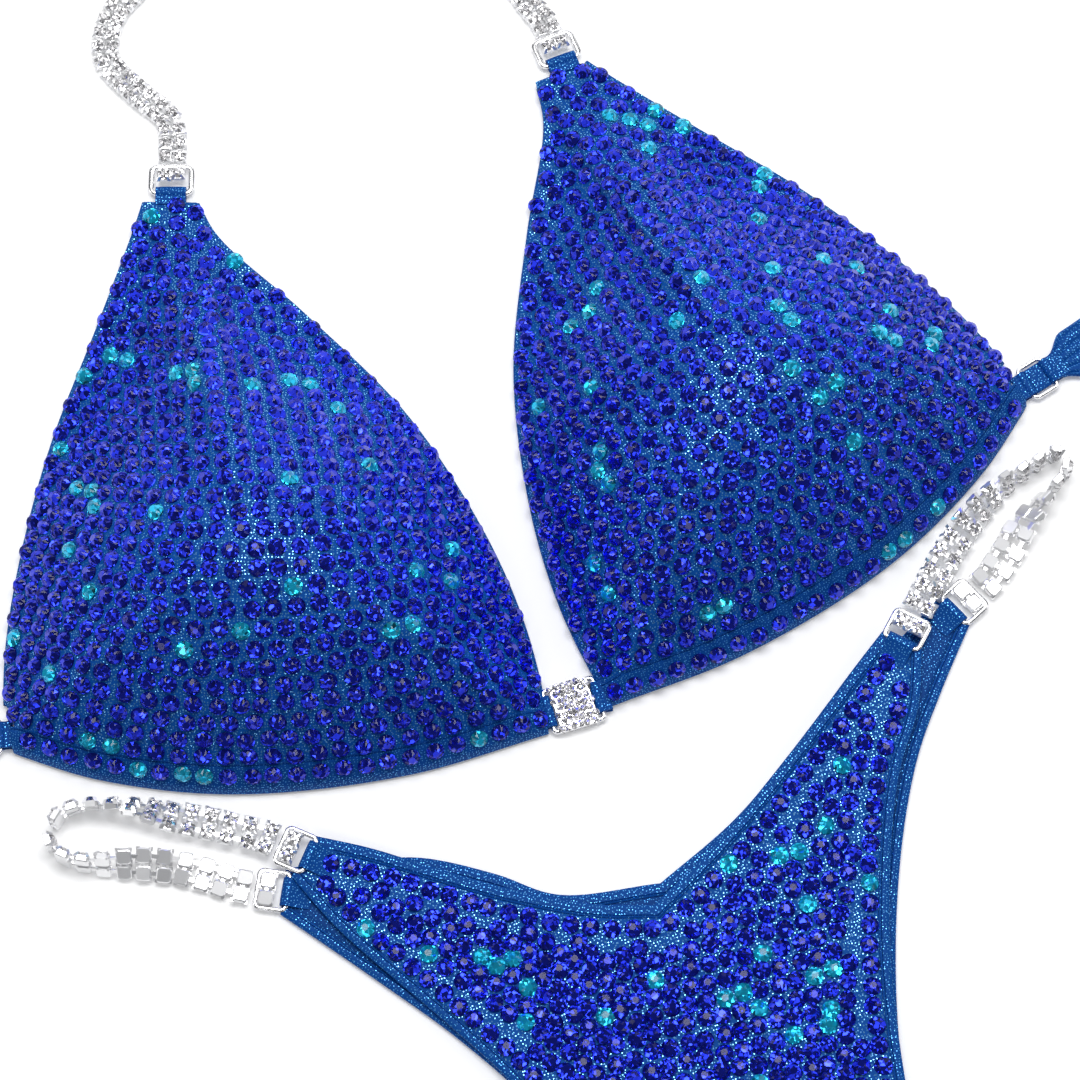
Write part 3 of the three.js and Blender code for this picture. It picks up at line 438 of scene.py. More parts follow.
def off_centre(tree, cells, strength):
    """A random direction for each cell: its colour less a half on every channel, times a strength."""
    half = (0.5, 0.5, 0.5)
    centred = add_node(tree, "VectorMath", {0: cells.outputs["Color"], 1: half}, operation="SUBTRACT")
    scaled = add_node(tree, "VectorMath", {0: centred.outputs[0], "Scale": strength}, operation="SCALE")
    return scaled.outputs[0]


def foil_dot_group():
    """Foil dots printed on stretch cloth: one round dot in each cell of a loose square pattern.

    Dots is 1 on a dot, and Normal tips each dot its own way."""
    group = bpy.data.node_groups.new("foil_dots", "ShaderNodeTree")
    for name, value in (("Dots per mm", 1.15), ("Dot size", 0.25), ("Tilt", 0.5)):
        socket = group.interface.new_socket(name, in_out="INPUT", socket_type="NodeSocketFloat")
        socket.default_value = value
    for name, kind in (("Dots", "Float"), ("Normal", "Vector")):
        group.interface.new_socket(name, in_out="OUTPUT", socket_type="NodeSocket" + kind)
    given, out = group.nodes.new("NodeGroupInput"), group.nodes.new("NodeGroupOutput")
    place = add_node(group, "UVMap", uv_map="cloth")
    cells = add_node(group, "TexVoronoi", voronoi_dimensions="2D")
    cells.inputs["Randomness"].default_value = 0.75
    group.links.new(place.outputs["UV"], cells.inputs["Vector"])
    group.links.new(given.outputs["Dots per mm"], cells.inputs["Scale"])
    apart = {0: given.outputs["Dot size"], 1: cells.outputs["Distance"]}
    edge = add_node(group, "Math", apart, operation="SUBTRACT")
    crisp = {0: edge.outputs[0], 1: DOT_CRISPNESS}
    dots = add_node(group, "Math", crisp, operation="MULTIPLY", use_clamp=True)
    amount = add_node(group, "Math", {0: dots.outputs[0], 1: given.outputs["Tilt"]}, operation="MULTIPLY")
    surface = add_node(group, "NewGeometry")
    tip = off_centre(group, cells, amount.outputs[0])
    tipped = add_node(group, "VectorMath", {0: surface.outputs["Normal"], 1: tip})
    unit = add_node(group, "VectorMath", {0: tipped.outputs[0]}, operation="NORMALIZE")
    group.links.new(dots.outputs[0], out.inputs["Dots"])
    group.links.new(unit.outputs[0], out.inputs["Normal"])
    return group


def dotted_cloth(name, ground, dots, ground_rough, dot_rough, metallic, dot_size):
    """Stretch cloth with foil dots: a satin ground and brighter metallic dots."""
    material, tree, shader = new_material(name, Specular_IOR_Level=0.1)
    foil = add_node(tree, "Group", node_tree=FOIL_DOTS)
    foil.inputs["Dot size"].default_value = dot_size
    colour = add_node(tree, "Mix", data_type="RGBA")
    colour.inputs["A"].default_value = (*ground, 1)
    colour.inputs["B"].default_value = (*dots, 1)
    tree.links.new(foil.outputs["Dots"], colour.inputs["Factor"])
    tree.links.new(colour.outputs["Result"], shader.inputs["Base Color"])
    for socket, low, high in (("Roughness", ground_rough, dot_rough), ("Metallic", *metallic)):
        blend = add_node(tree, "MapRange", {"Value": foil.outputs["Dots"], "To Min": low, "To Max": high})
        tree.links.new(blend.outputs["Result"], shader.inputs[socket])
    tree.links.new(foil.outputs["Normal"], shader.inputs["Normal"])
    return material


def cut_stone(name, colour, metallic, roughness, cell, scatter, coat):
    """Foil-backed cut glass: a clear coat on the real facets over a body that mirrors inner facets.

    An inner facet's direction is the mesh's foil_tilt plus a scatter that differs from one small
    cell to the next."""
    material, tree, shader = new_material(
        name, Base_Color=(*colour, 1), Metallic=metallic, Roughness=roughness, Coat_Weight=coat,
        Coat_Roughness=0.03, Coat_IOR=1.5
    )
    foil = add_node(tree, "Attribute", attribute_name="foil_tilt")
    place = add_node(tree, "TexCoord")
    cells = add_node(tree, "TexVoronoi", {"Vector": place.outputs["Object"], "Scale": 1 / (cell * MM)})
    total = add_node(tree, "VectorMath", {0: foil.outputs["Vector"], 1: off_centre(tree, cells, scatter)})
    ways = {"vector_type": "NORMAL", "convert_from": "OBJECT", "convert_to": "WORLD"}
    turn = add_node(tree, "VectorTransform", {0: total.outputs[0]}, **ways)
    tree.links.new(turn.outputs[0], shader.inputs["Normal"])
    return material


FOIL_DOTS = foil_dot_group()
SATIN = dotted_cloth(
    "foil_spandex", (0.001, 0.070, 0.32), (0.24, 0.62, 1.0), 0.6, 0.24, (0.0, 1.0), 0.22
)
BINDING = dotted_cloth(
    "foil_binding", (0.001, 0.058, 0.28), (0.12, 0.45, 0.9), 0.6, 0.3, (0.0, 1.0), 0.2
)
LINING = dotted_cloth(
    "lining_tricot", (0.001, 0.045, 0.22), (0.08, 0.35, 0.75), 0.55, 0.35, (0.1, 0.9), 0.18
)
FOAM = new_material("moulded_foam", Base_Color=(0.75, 0.72, 0.66, 1), Roughness=0.95)[0]
SAPPHIRE = cut_stone("sapphire_stone", (0.011, 0.027, 0.62), 0.9, 0.09, cell=1.1, scatter=0.5, coat=0.35)
AQUA = cut_stone("aqua_stone", (0.003, 0.50, 0.80), 0.6, 0.10, cell=1.1, scatter=0.5, coat=0.6)
CRYSTAL = cut_stone("clear_stone", (0.88, 0.865, 0.88), 0.86, 0.2, cell=0.8, scatter=1.1, coat=0.8)
SILVER = new_material("polished_silver", Base_Color=(0.86, 0.86, 0.87, 1), Metallic=1.0, Roughness=0.24)[0]
PLATED = new_material("plated_cup", Base_Color=(0.88, 0.88, 0.89, 1), Metallic=0.8, Roughness=0.3)[0]


# ------------------------------------------------------------------ stones
def stone_shape():
    """A round flat-back stone of unit radius: table, eight stars, eight kites, sixteen lower
    facets and a girdle. Returns its points and its faces."""
    def ring(count, radius, height, start):
        angle = start + np.arange(count) * 2 * math.pi / count
        return np.stack([radius * np.cos(angle), radius * np.sin(angle), np.full(count, height)], -1)

    eighth = math.pi / 8
    points = np.vstack([
        ring(8, 0.40, STONE_TABLE_UP, 0),
        ring(8, 0.74, 0.56, eighth),
        ring(16, 1.0, 0.20, 0),
        ring(16, 0.94, -0.06, 0),
    ])
    table, mid, girdle, base = 0, 8, 16, 32
    faces = [list(range(8))]
    for i in range(8):
        following = (i + 1) % 8
        faces.append([table + i, mid + i, table + following])
        faces.append([table + i, mid + (i - 1) % 8, girdle + 2 * i, mid + i])
        faces.append([mid + i, girdle + 2 * i, girdle + 2 * i + 1])
        faces.append([mid + i, girdle + 2 * i + 1, girdle + (2 * i + 2) % 16])
    for i in range(16):
        following = (i + 1) % 16
        faces.append([girdle + i, base + i, base + following, girdle + following])
    faces.append(list(range(base + 15, base - 1, -1)))
    return points, faces


STONE_POINTS, STONE_FACES = stone_shape()


def axes_for(normals, spins):
    """Three unit axes for each stone: two across it, turned by its spin, and its normal."""
    normals = normals / np.linalg.norm(normals, axis=1, keepdims=True)
    helper = np.where(np.abs(normals[:, 2:]) > 0.9, [[1.0, 0, 0]], [[0, 0, 1.0]])
    first = np.cross(helper, normals)
    first /= np.linalg.norm(first, axis=1, keepdims=True)
    second = np.cross(normals, first)
    c, s = np.cos(spins)[:, None], np.sin(spins)[:, None]
    return first * c + second * s, second * c - first * s, normals


def set_stones(name, centres, normals, radius, height, material, body, lean=0.06):
    """One mesh of many stones, each set on its centre square to its normal with a slight lean.

    Every face carries foil_tilt: the stone's normal tipped 5 to 45 degrees towards a random side."""
    count = len(centres)
    normals = normals + RNG.normal(0, lean, (count, 3))
    first, second, normal = axes_for(normals, RNG.uniform(0, 2 * math.pi, count))
    shape = STONE_POINTS * [radius, radius, height / STONE_TABLE_UP]
    piece = repeat_shape(name, shape, STONE_FACES, centres, first, second, normal, material, body)
    tip = np.radians(RNG.uniform(*FOIL_TIP, (count, len(STONE_FACES))))[..., None]
    angle = RNG.uniform(0, 2 * math.pi, (count, len(STONE_FACES)))[..., None]
    sideways = first[:, None] * np.cos(angle) + second[:, None] * np.sin(angle)
    foil = normal[:, None] * np.cos(tip) + sideways * np.sin(tip)
    layer = piece.data.attributes.new("foil_tilt", "FLOAT_VECTOR", "FACE")
    layer.data.foreach_set("vector", foil.astype(np.float32).ravel())
    return piece


def pick_aqua(count):
    """Which stones are aqua: single ones at random, and the next stone too for some of them."""
    first = RNG.random(count) < AQUA_SHARE / (1 + AQUA_PAIRS)
    return first | (np.roll(first, 1) & (RNG.random(count) < AQUA_PAIRS))


def set_two_tones(name, centres, normals, body):
    """The sapphire stones of a piece, and its aqua ones as a second mesh."""
    aqua = pick_aqua(len(centres))
    pieces = []
    for suffix, chosen, material in (("", ~aqua, SAPPHIRE), ("_aqua", aqua, AQUA)):
        piece = set_stones(
            name + suffix, centres[chosen], normals[chosen], STONE_RADIUS, STONE_HEIGHT, material, body
        )
        pieces.append(piece)
    return pieces


# ------------------------------------------------------------------ cups
def cup_outline():
    """A cup's outline in its own frame, with the band that runs along each of its edges."""
    hem, outer = spline(HEM_LINE, HEM_POINTS), spline(OUTER_LINE, OUTER_POINTS)
    inner = spline(INNER_LINE, INNER_POINTS)
    points = np.vstack([hem[:-1], outer, inner[:-1]])
    bands = np.full(len(points), EDGE_BINDING)
    bands[:HEM_POINTS - 1] = HEM_BAND
    return points, bands


CUP_OUTLINE, CUP_BANDS = cup_outline()


def dome_share(points):
    """(1 - t^2)^p, where t is the distance from the peak over the distance to the outline on the
    same ray, and p grows from the side power to the apex power as the ray turns to the apex."""
    rays = CUP_OUTLINE - CUP_PEAK
    angles = np.arctan2(rays[:, 1], rays[:, 0])
    order = np.argsort(angles)
    offset = points - CUP_PEAK
    angle = np.arctan2(offset[..., 1], offset[..., 0])
    lengths = np.linalg.norm(rays, axis=1)
    reach = np.interp(angle, angles[order], lengths[order], period=2 * math.pi)
    t = np.clip(np.linalg.norm(offset, axis=-1) / reach, 0, 1)
    to_apex = CUP_APEX - CUP_PEAK
    facing = np.maximum(0, np.cos(angle - math.atan2(to_apex[1], to_apex[0]))) ** APEX_FOCUS
    return (1 - t * t) ** (SIDE_POWER + (APEX_POWER - SIDE_POWER) * facing)


def towards_peak(distance):
    """The cup's outline with each point moved straight towards the peak."""
    rays = CUP_PEAK - CUP_OUTLINE
    return CUP_OUTLINE + rays / np.linalg.norm(rays, axis=1, keepdims=True) * distance


def clip_behind(points, bars):
    """Flat points that pass a bar's set-back line moved straight back towards it, in full across
    the bar's width and fading to nothing just beside it."""
    points = np.array(points, float)
    for bar in bars:
        out = outward(bar)
        offset = points - bar["at"]
        past = np.maximum(0, offset @ out + bar["back"])
        beside = np.abs(cross(offset, out))
        past = past * (1 - smoothstep(beside, bar["half"], bar["half"] + BAR_FADE))
        past = np.where(np.linalg.norm(offset, axis=-1) < 3 * bar["half"], past, 0)
        points = points - past[..., None] * out
    return points


def cup_bars(side):
    """The apex and side bars in a cup's own frame, each with its cloth's set-back and half width."""
    return (
        {**CUPS[side]["apex"], "back": ring_bore(NECK_RING) + LOOP_BACK, "half": NECK_RING["width"] / 2},
        {**CUP_SIDE, "back": ring_bore(SIDE_RING) + LOOP_BACK, "half": SIDE_RING["width"] / 2},
    )


def cup_layer(name, place, body, rim, low, high, material, edge_drop):
    """A domed layer of a cup, closed: rows go from the peak over the top to the rim and back
    beneath. A height is base + crown * dome share, and the last part of the top rolls down."""
    shares = np.concatenate([np.linspace(0.02, 0.9, 30), np.linspace(0.92, 1, 9)])
    flat = CUP_PEAK + (rim - CUP_PEAK) * shares[:, None, None]
    dome = dome_share(flat)
    roll = edge_drop * smoothstep(shares, 0.98, 1)[:, None]
    top = high[0] + high[1] * dome - roll * (high[1] * dome + high[0] - low[0] - 0.5)
    under = low[0] + low[1] * dome
    under = np.minimum(under, top - 0.25)
    on = on_table(place, flat)
    rows = np.concatenate([lifted(on, top), lifted(on[::-1], under[::-1])])
    surface = np.linalg.norm(np.diff(lifted(flat, top), axis=0, prepend=lifted(flat[:1], top[:1])), axis=-1)
    arc = np.cumsum(surface, 0) + 0.02 * np.linalg.norm(rim - CUP_PEAK, axis=1)
    ray = (rim - CUP_PEAK) / np.linalg.norm(rim - CUP_PEAK, axis=1, keepdims=True)
    uv = ray[None] * arc[..., None]
    uv = np.concatenate([uv, uv[::-1]])
    if place["mirror"] < 0:
        rows, uv = rows[:, ::-1], uv[:, ::-1]
    return closed_grid(name, rows, material, body, uv, poles=True)


def cup_surface(points):
    """The height of a cup's face cloth over points of its own frame."""
    return CLOTH_LEVELS[1] + (CUP_DOME + FOAM_CROWN) * dome_share(points)


def surface_normals(points):
    """The upward normals of the face cloth: (-dz/dx, -dz/dy, 1)."""
    step = 0.5
    dx, dy = np.array([step, 0]), np.array([0, step])
    slope_x = (cup_surface(points + dx) - cup_surface(points - dx)) / (2 * step)
    slope_y = (cup_surface(points + dy) - cup_surface(points - dy)) / (2 * step)
    return np.stack([-slope_x, -slope_y, np.ones(len(points))], -1)


def hem_height(x):
    """The hem's height over its chord at distances along the chord."""
    return np.interp(x, CUP_OUTLINE[HEM_INSIDE, 0], CUP_OUTLINE[HEM_INSIDE, 1])


def cup_stone_places(side):
    """Stones on a cup, in its own frame: one row on the hem, then rows that follow it at equal steps
    over the surface, each filled from edge to edge at equal steps, with a little scatter."""
    columns = np.arange(-4.0, 152.0, 1.0)
    hem = hem_height(columns)
    climb = np.arange(0, 180, 0.5)
    mesh = np.stack(np.broadcast_arrays(columns[:, None], hem[:, None] + climb[None]), -1)
    height = cup_surface(mesh)
    steps = np.hypot(np.diff(mesh[..., 1], axis=1), np.diff(height, axis=1))
    over = np.concatenate([np.zeros((len(columns), 1)), np.cumsum(steps, 1)], 1)
    limit = inset(CUP_OUTLINE, np.where(CUP_BANDS > EDGE_BINDING, HEM_STONE_EDGE, CUP_STONE_EDGE))
    found = []
    for row in range(44):
        level = NEXT_ROW_UP + (row - 1) * CUP_ROW_STEP if row else HEM_ROW_UP[side]
        line = np.array([np.interp(level, run, place) for run, place in zip(over, mesh[..., 1])])
        line = np.convolve(np.pad(line, 4, mode="edge"), np.ones(9) / 9, mode="valid")
        curve = resample(np.stack([columns, line], -1), 1200)
        curve = curve[inside(curve, limit)]
        if len(curve) < 12:
            continue
        rise = cup_surface(curve)
        length = run_along(lifted(curve, rise))
        count = max(1, round(length[-1] / CUP_STONE_STEP))
        shift = 0.3 * CUP_STONE_STEP * (row % 2)
        at = np.linspace(shift, length[-1] - shift, count + 1 - row % 2)
        at = at + RNG.normal(0, ROW_SCATTER, len(at))
        spots = np.stack([np.interp(at, length, curve[:, 0]), np.interp(at, length, curve[:, 1])], -1)
        found.append(spots + RNG.normal(0, CUP_SCATTER, spots.shape))
    return np.vstack(found)


def flat_to_table(place, vectors):
    """Directions turned from a flat frame to the table, with their height kept."""
    zero = on_table(place, (0, 0))
    return np.concatenate([on_table(place, vectors[:, :2]) - zero, vectors[:, 2:]], -1)


def band_rows(outer, inner, low, high, seam):
    """A flat band between two lines: a rounded cross-section with a stitched groove by its inner
    edge. Rows run along the band and each goes once round its section."""
    groove = [seam - 0.05, seam, seam + 0.05]
    across = np.array([0.5, 0.16, 0.03, 0.0, 0.03, 0.16, 0.5, *groove, 0.97, 1.0, 0.97])
    level = np.array([0.0, 0.0, 0.12, 0.5, 0.8, 0.97, 1.0, 0.98, 0.8, 0.98, 0.88, 0.5, 0.0])
    flat = outer[:, None] + (inner - outer)[:, None] * across[None, :, None]
    return lifted(flat, low + (high - low) * level[None])


def make_hem(side, place, body):
    """The hem casing: a strip that lies on the dome, stitched down along a groove near its top."""
    low_line = CUP_OUTLINE[HEM_INSIDE]
    high_line = np.stack([np.clip(low_line[:, 0], 0.9, 145.2), low_line[:, 1] + HEM_SEAM_WIDTH], -1)
    across = np.concatenate([np.linspace(0, 0.8, 9), [0.84, 0.87, 0.9, 0.95, 1.0]])
    raised = np.concatenate([[-1.6, 0.1], np.full(7, 0.55), [0.5, 0.02, 0.5, 0.45, -0.2]])
    flat = low_line[:, None] + (high_line - low_line)[:, None] * across[None, :, None]
    top = cup_surface(flat) + raised
    top = np.maximum(top, 0.9)
    under = np.maximum(cup_surface(flat) - 1.6, 0.2)
    flat = clip_behind(np.concatenate([flat, flat[:, ::-1]], 1), cup_bars(side))
    rows = lifted(on_table(place, flat), np.concatenate([top, under[:, ::-1]], 1))
    uv = crossed(run_along(low_line), run_along(rows[HEM_POINTS // 2]))
    if place["mirror"] > 0:
        rows, uv = rows[:, ::-1], uv[:, ::-1]
    hem = closed_grid(f"cup_hem_{side}", rows, BINDING, body, uv)
    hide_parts(f"hem_casing_{side}")
    return hem


def make_edge(side, node, place, body, edges):
    """The rolled edge of a cup: a soft round section carried along a run of the outline."""
    line = inset(CUP_OUTLINE, np.full(len(CUP_OUTLINE), 0.9))[edges]
    line = line[np.linalg.norm(clip_behind(line, cup_bars(side)) - line, axis=1) < 0.6]
    path = lifted(on_table(place, line), 1.35)
    _, level = frames_along(path)
    edge = swept(f"cup_{node}_{side}", path, level, UP, superellipse(1.8, 2.3, 2.4, 12), BINDING, body)
    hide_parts(f"{node}_{side}")
    return edge


def strip_loop(name, bar, lift, width, bore, tail, low, high, body, wall=0.6):
    """A cloth strip folded round a bar: its section is an arc about the bar with two tails that run
    back to the cloth, given a wall, and it is as wide as the bar's opening."""
    radius = bore + wall / 2
    angle = np.linspace(math.pi - 0.7, -math.pi + 0.7, 17)
    arc = np.stack([radius * np.cos(angle), radius * np.sin(angle)], -1)
    middle = np.vstack([[-tail, high - wall / 2], arc, [-tail, low + wall / 2]])
    way = np.gradient(middle, axis=0)
    way /= np.linalg.norm(way, axis=1, keepdims=True)
    across = np.stack([-way[:, 1], way[:, 0]], -1)
    section = np.vstack([middle + across * wall / 2, (middle - across * wall / 2)[::-1]])
    out = outward(bar)
    places = np.linspace(-width / 2, width / 2, 7)
    pinch = 1 - 0.05 * (2 * np.abs(places) / width) ** 4
    flat = bar["at"] + section[None, :, :1] * pinch[:, None, None] * out
    flat = flat + places[:, None, None] * np.array([-out[1], out[0]])
    rows = lifted(flat, lift + section[None, :, 1] * pinch[:, None])
    uv = crossed(places, run_along(section))
    return closed_grid(name, rows[:, ::-1], BINDING, body, uv[:, ::-1])


def ring_bore(ring):
    """The inside radius of a cloth loop round a ring's wire."""
    return math.hypot(ring["wire"], ring["thick"]) / 2 + 0.25


def rounded_rectangle(x0, x1, y0, y1, radius, per_corner=6):
    """A closed rectangle path with quarter-circle corners, anticlockwise."""
    quarter = np.linspace(0, math.pi / 2, per_corner)
    corners = []
    for cx, cy, start in ((x1, y1, 0), (x0, y1, 0.5), (x0, y0, 1), (x1, y0, 1.5)):
        angle = quarter + start * math.pi
        in_x = cx - math.copysign(radius, cx - (x0 + x1) / 2)
        in_y = cy - math.copysign(radius, cy - (y0 + y1) / 2)
        corners.append([in_x, in_y] + radius * np.stack([np.cos(angle), np.sin(angle)], -1))
    return np.vstack(corners)


def wire_ring(name, at, path, along, lift, section, body):
    """A closed wire: a section carried round a flat path that starts from a place and whose first
    axis points along a direction."""
    across = np.array([-along[1], along[0]])
    line = lifted(at + path[:, :1] * along + path[:, 1:] * across, lift)
    side = np.cross(np.roll(line, -1, 0) - np.roll(line, 1, 0), UP)
    side /= np.linalg.norm(side, axis=1, keepdims=True)
    return swept(name, line, side, UP, section, SILVER, body, closed=True)


def make_ring(name, bar, lift, ring, body):
    """A rectangular ring bent from flat wire: a rounded box section carried round a rounded
    rectangle whose near side is the bar."""
    half = ring["width"] / 2 - ring["wire"] / 2
    path = rounded_rectangle(0, ring["span"], -half, half, ring["radius"] - ring["wire"] / 2)
    section = superellipse(ring["wire"], ring["thick"], 3, 12)
    piece = wire_ring(name, bar["at"], path, outward(bar), lift, section, body)
    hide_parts(name.replace("_visual", ""))


def make_cup(side):
    """All the pieces of one cup, from its lining up to its stones."""
    place, body = CUPS[side], f"cup_{side}"
    bars = cup_bars(side)
    rim, pad_rim = clip_behind(towards_peak(0.6), bars), clip_behind(towards_peak(3.5), bars)
    crown = CUP_DOME + FOAM_CROWN
    layers = (
        ("lining", pad_rim, LINING_LEVELS, (CUP_DOME, CUP_DOME), LINING, 0.0, "lining", "lining_tricot"),
        ("pad", pad_rim, PAD_LEVELS, (CUP_DOME, crown), FOAM, 0.0, "foam_pad", "foam"),
        ("cloth", rim, CLOTH_LEVELS, (crown, crown), SATIN, 0.9, "cup_fabric", "foil_spandex"),
    )
    for name, edge, levels, domes, material, edge_drop, node, finish in layers:
        low, high = zip(levels, domes)
        layer = cup_layer(f"cup_{name}_{side}", place, body, edge, low, high, material, edge_drop)
        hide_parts(f"{node}_{side}")

    hem = make_hem(side, place, body)
    outer = make_edge(side, "outer_binding", place, body, OUTER_INSIDE)
    inner = make_edge(side, "inner_binding", place, body, INNER_INSIDE)

    spots = cup_stone_places(side)
    trimmed = [{**bar, "back": bar["back"] + 0.8} for bar in bars]
    spots = spots[np.linalg.norm(clip_behind(spots, trimmed) - spots, axis=1) < 0.3]
    on_hem = spots[:, 1] < hem_height(spots[:, 0]) + 0.9 * HEM_SEAM_WIDTH
    heights = cup_surface(spots) + np.where(on_hem, 0.5, -0.05)
    normals = surface_normals(spots)
    centres = lifted(on_table(place, spots), heights)
    stones = set_two_tones(f"cup_stones_set_{side}", centres, flat_to_table(place, normals), body)
    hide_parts(f"cup_stones_{side}")

    apex = bar_on_table(place, place["apex"])
    side_bar = bar_on_table(place, CUP_SIDE)
    turn = PLATE_DEGREES + (180 if side == "right" else 0)
    reach = BAR_SPACING / 2 * (-1 if side == "left" else 1)
    angle = math.radians(PLATE_DEGREES)
    centre = {"at": np.array([reach * math.cos(angle), reach * math.sin(angle)]), "degrees": turn}
    apex_bore, side_bore = ring_bore(NECK_RING), ring_bore(SIDE_RING)
    loops = (
        ("apex_loop", apex, APEX_LOOP, apex_bore, apex_bore + LOOP_TAIL),
        ("centre_loop", centre, CENTRE_LOOP, BAR_RADIUS + 0.2, BAR_RADIUS + CENTRE_TAIL),
        ("side_loop", side_bar, SIDE_LOOP, side_bore, side_bore + LOOP_TAIL),
    )
    for name, bar, width, bore, tail in loops:
        loop = strip_loop(f"cup_{name}_{side}", bar, BAR_LIFT, width, bore, tail, *LOOP_LEVELS, body)
        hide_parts(f"{name}_{side}")
    return apex, side_bar


# ------------------------------------------------------------------ claw-cup chains
def claw_cup_shape(half, deep):
    """A square claw cup: a box open at the top corners, with four tapered claws over the stone."""
    base = rounded_rectangle(-half, half, -half, half, half * 0.35, 3)
    levels = ((0.86, -0.5), (1.0, -0.42), (1.0, 0.08), (0.8, 0.12))  # each ring's size and height
    rows = np.stack([lifted(base * size, height * deep) for size, height in levels])
    around = len(base)
    quads = grid_quads(4, around, False, True)[:, ::-1]
    points = [rows.reshape(-1, 3)]
    faces = [*map(list, quads), list(range(around))[::-1], list(range(3 * around, 4 * around))]
    start = 4 * around
    claw = half * 0.26
    for sx, sy in ((1, 1), (-1, 1), (-1, -1), (1, -1)):
        foot = np.array([sx, sy]) * half * 0.86
        tip = np.array([sx, sy]) * half * 0.52
        square = np.array([(-1, -1), (1, -1), (1, 1), (-1, 1)]) * claw
        points += [lifted(foot + square, -0.05 * deep), lifted(tip + square * 0.6, 0.42 * deep)]
        for k in range(4):
            n = (k + 1) % 4
            faces.append([start + k, start + n, start + 4 + n, start + 4 + k])
        faces.append([start + 4, start + 5, start + 6, start + 7])
        faces.append([start + 3, start + 2, start + 1, start])
        start += 8
    return np.vstack(points), faces


def link_shape(length, width, thick):
    """A small plain bar between two cups, along its first axis."""
    x, y, z = length / 2, width / 2, thick / 2
    corners = np.array([
        (-x, -y, -z), (x, -y, -z), (x, y, -z), (-x, y, -z), (-x, -y, z), (x, -y, z), (x, y, z), (-x, y, z),
    ])
    faces = [[0, 3, 2, 1], [4, 5, 6, 7], [0, 1, 5, 4], [1, 2, 6, 5], [2, 3, 7, 6], [3, 0, 4, 7]]
    return corners, faces


def chain_lead(bar, ring):
    """The first two points of a chain: past the ring's far side, square to it."""
    return [far_bar(bar, ring["span"] + d)["at"] for d in (CHAIN_END_GAP, CHAIN_END_GAP + CHAIN_LEAD)]


def chain_stations(route, chain, lift, rolls, part, settle):
    """Evenly spaced places for cups along a part of a route, each with its tangent, side and up.

    A roll of 0 lies flat and 90 stands on edge; the centre rests half a section over the table."""
    curve = spline(np.array(route), CHAIN_POINTS)
    tangent, side = frames_along(lifted(curve, 0))
    length = run_along(curve)[-1]
    total = max(2, round(length * (part[1] - part[0]) / chain["pitch"]))
    share = part[0] + (part[1] - part[0]) * (np.arange(total) + 0.5) / total
    last = CHAIN_POINTS - 1
    index = np.clip((share * last).round().astype(int), 0, last)
    roll = np.radians(rolls[0] + (rolls[1] - rolls[0]) * smoothstep(share, *HIP_ROLL))[:, None]
    tangent, level = tangent[index], side[index]
    side = level * np.cos(roll) + np.cross(tangent, level) * np.sin(roll)
    up = np.cross(side, tangent)
    width = chain["row"] + chain["cup"]
    rest = 0.2 + (width * np.abs(np.sin(roll)) + chain["deep"] * np.abs(np.cos(roll)))[:, 0] / 2
    height = lift + (rest - lift) * smoothstep(share, *settle)
    return lifted(curve[index], height), tangent, side, up


def make_chain(name, nodes, body, stations, chain, hinge=None):
    """A two-row claw chain: cups in silver, a clear stone in each, and links along and across.

    With a hinge, which is an end's index and a point, one more link reaches from that end to it."""
    centre, tangent, side, up = stations
    sway = RNG.normal(0, CHAIN_SWAY, (2, len(centre)))
    twist = RNG.normal(0, CHAIN_TWIST, (2, len(centre), 3))
    rows, firsts, ups = [], [], []
    for k, sign in enumerate((-1, 1)):
        rows.append(centre + side * (sign * chain["row"] / 2) + tangent * sway[k][:, None])
        tipped = up + twist[k]
        tipped = tipped / np.linalg.norm(tipped, axis=1, keepdims=True)
        first = tangent - tipped * np.sum(tangent * tipped, axis=1, keepdims=True)
        firsts.append(first / np.linalg.norm(first, axis=1, keepdims=True))
        ups.append(tipped)
    places, first, normal = np.concatenate(rows), np.concatenate(firsts), np.concatenate(ups)
    second = np.cross(normal, first)
    shape, faces = claw_cup_shape(chain["cup"] / 2, chain["deep"])
    cups = repeat_shape(f"{name}_cups", shape, faces, places, first, second, normal, PLATED, body)
    stones = set_stones(
        f"{name}_stones", places + normal * (0.02 * chain["deep"]), normal, chain["cup"] * 0.47,
        chain["deep"] * 0.46, CRYSTAL, body, lean=0.02
    )
    middle = (centre[1:] + centre[:-1]) / 2
    mid_up, mid_side = (up[1:] + up[:-1]) / 2, (side[1:] + side[:-1]) / 2
    shape, faces = link_shape(1.0, *LINK_SIZE)
    spots, ways, lifts = [centre - up * LINK_DROP], [side * chain["row"] / 2], [up]
    for sign in (-1, 1):
        spots.append(middle + mid_side * (sign * chain["row"] / 2) - mid_up * LINK_DROP)
        ways.append((centre[1:] - centre[:-1]) / 2)
        lifts.append(mid_up)
    if hinge is not None:
        end, point = hinge
        spots.append((centre[end] * 0.55 + point * 0.45)[None] - up[[end]] * LINK_DROP)
        ways.append((point - centre[end])[None] * 0.9)
        lifts.append(up[[end]])
    spots, ways, lifts = np.concatenate(spots), np.concatenate(ways), np.concatenate(lifts)
    unit = ways / np.linalg.norm(ways, axis=1, keepdims=True)
    across = np.cross(lifts, unit)
    links = repeat_shape(f"{name}_links", shape, faces, spots, ways, across, lifts, PLATED, body)
    if nodes:
        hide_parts(*nodes)


def on_far_bar(bar, ring, lift, face):
    """One station inside a ring's far side, where a chain's end link folds over the bar. A face of 1
    shows its stones and -1 the backs of its cups."""
    out = np.append(outward(bar), 0.0)
    at = np.append(far_bar(bar, ring["span"] - ON_RING_BACK)["at"], lift + (ON_RING_UP if face > 0 else 0.3))
    side = np.cross(out, UP * face)
    return at[None], out[None], side[None], face * UP[None]


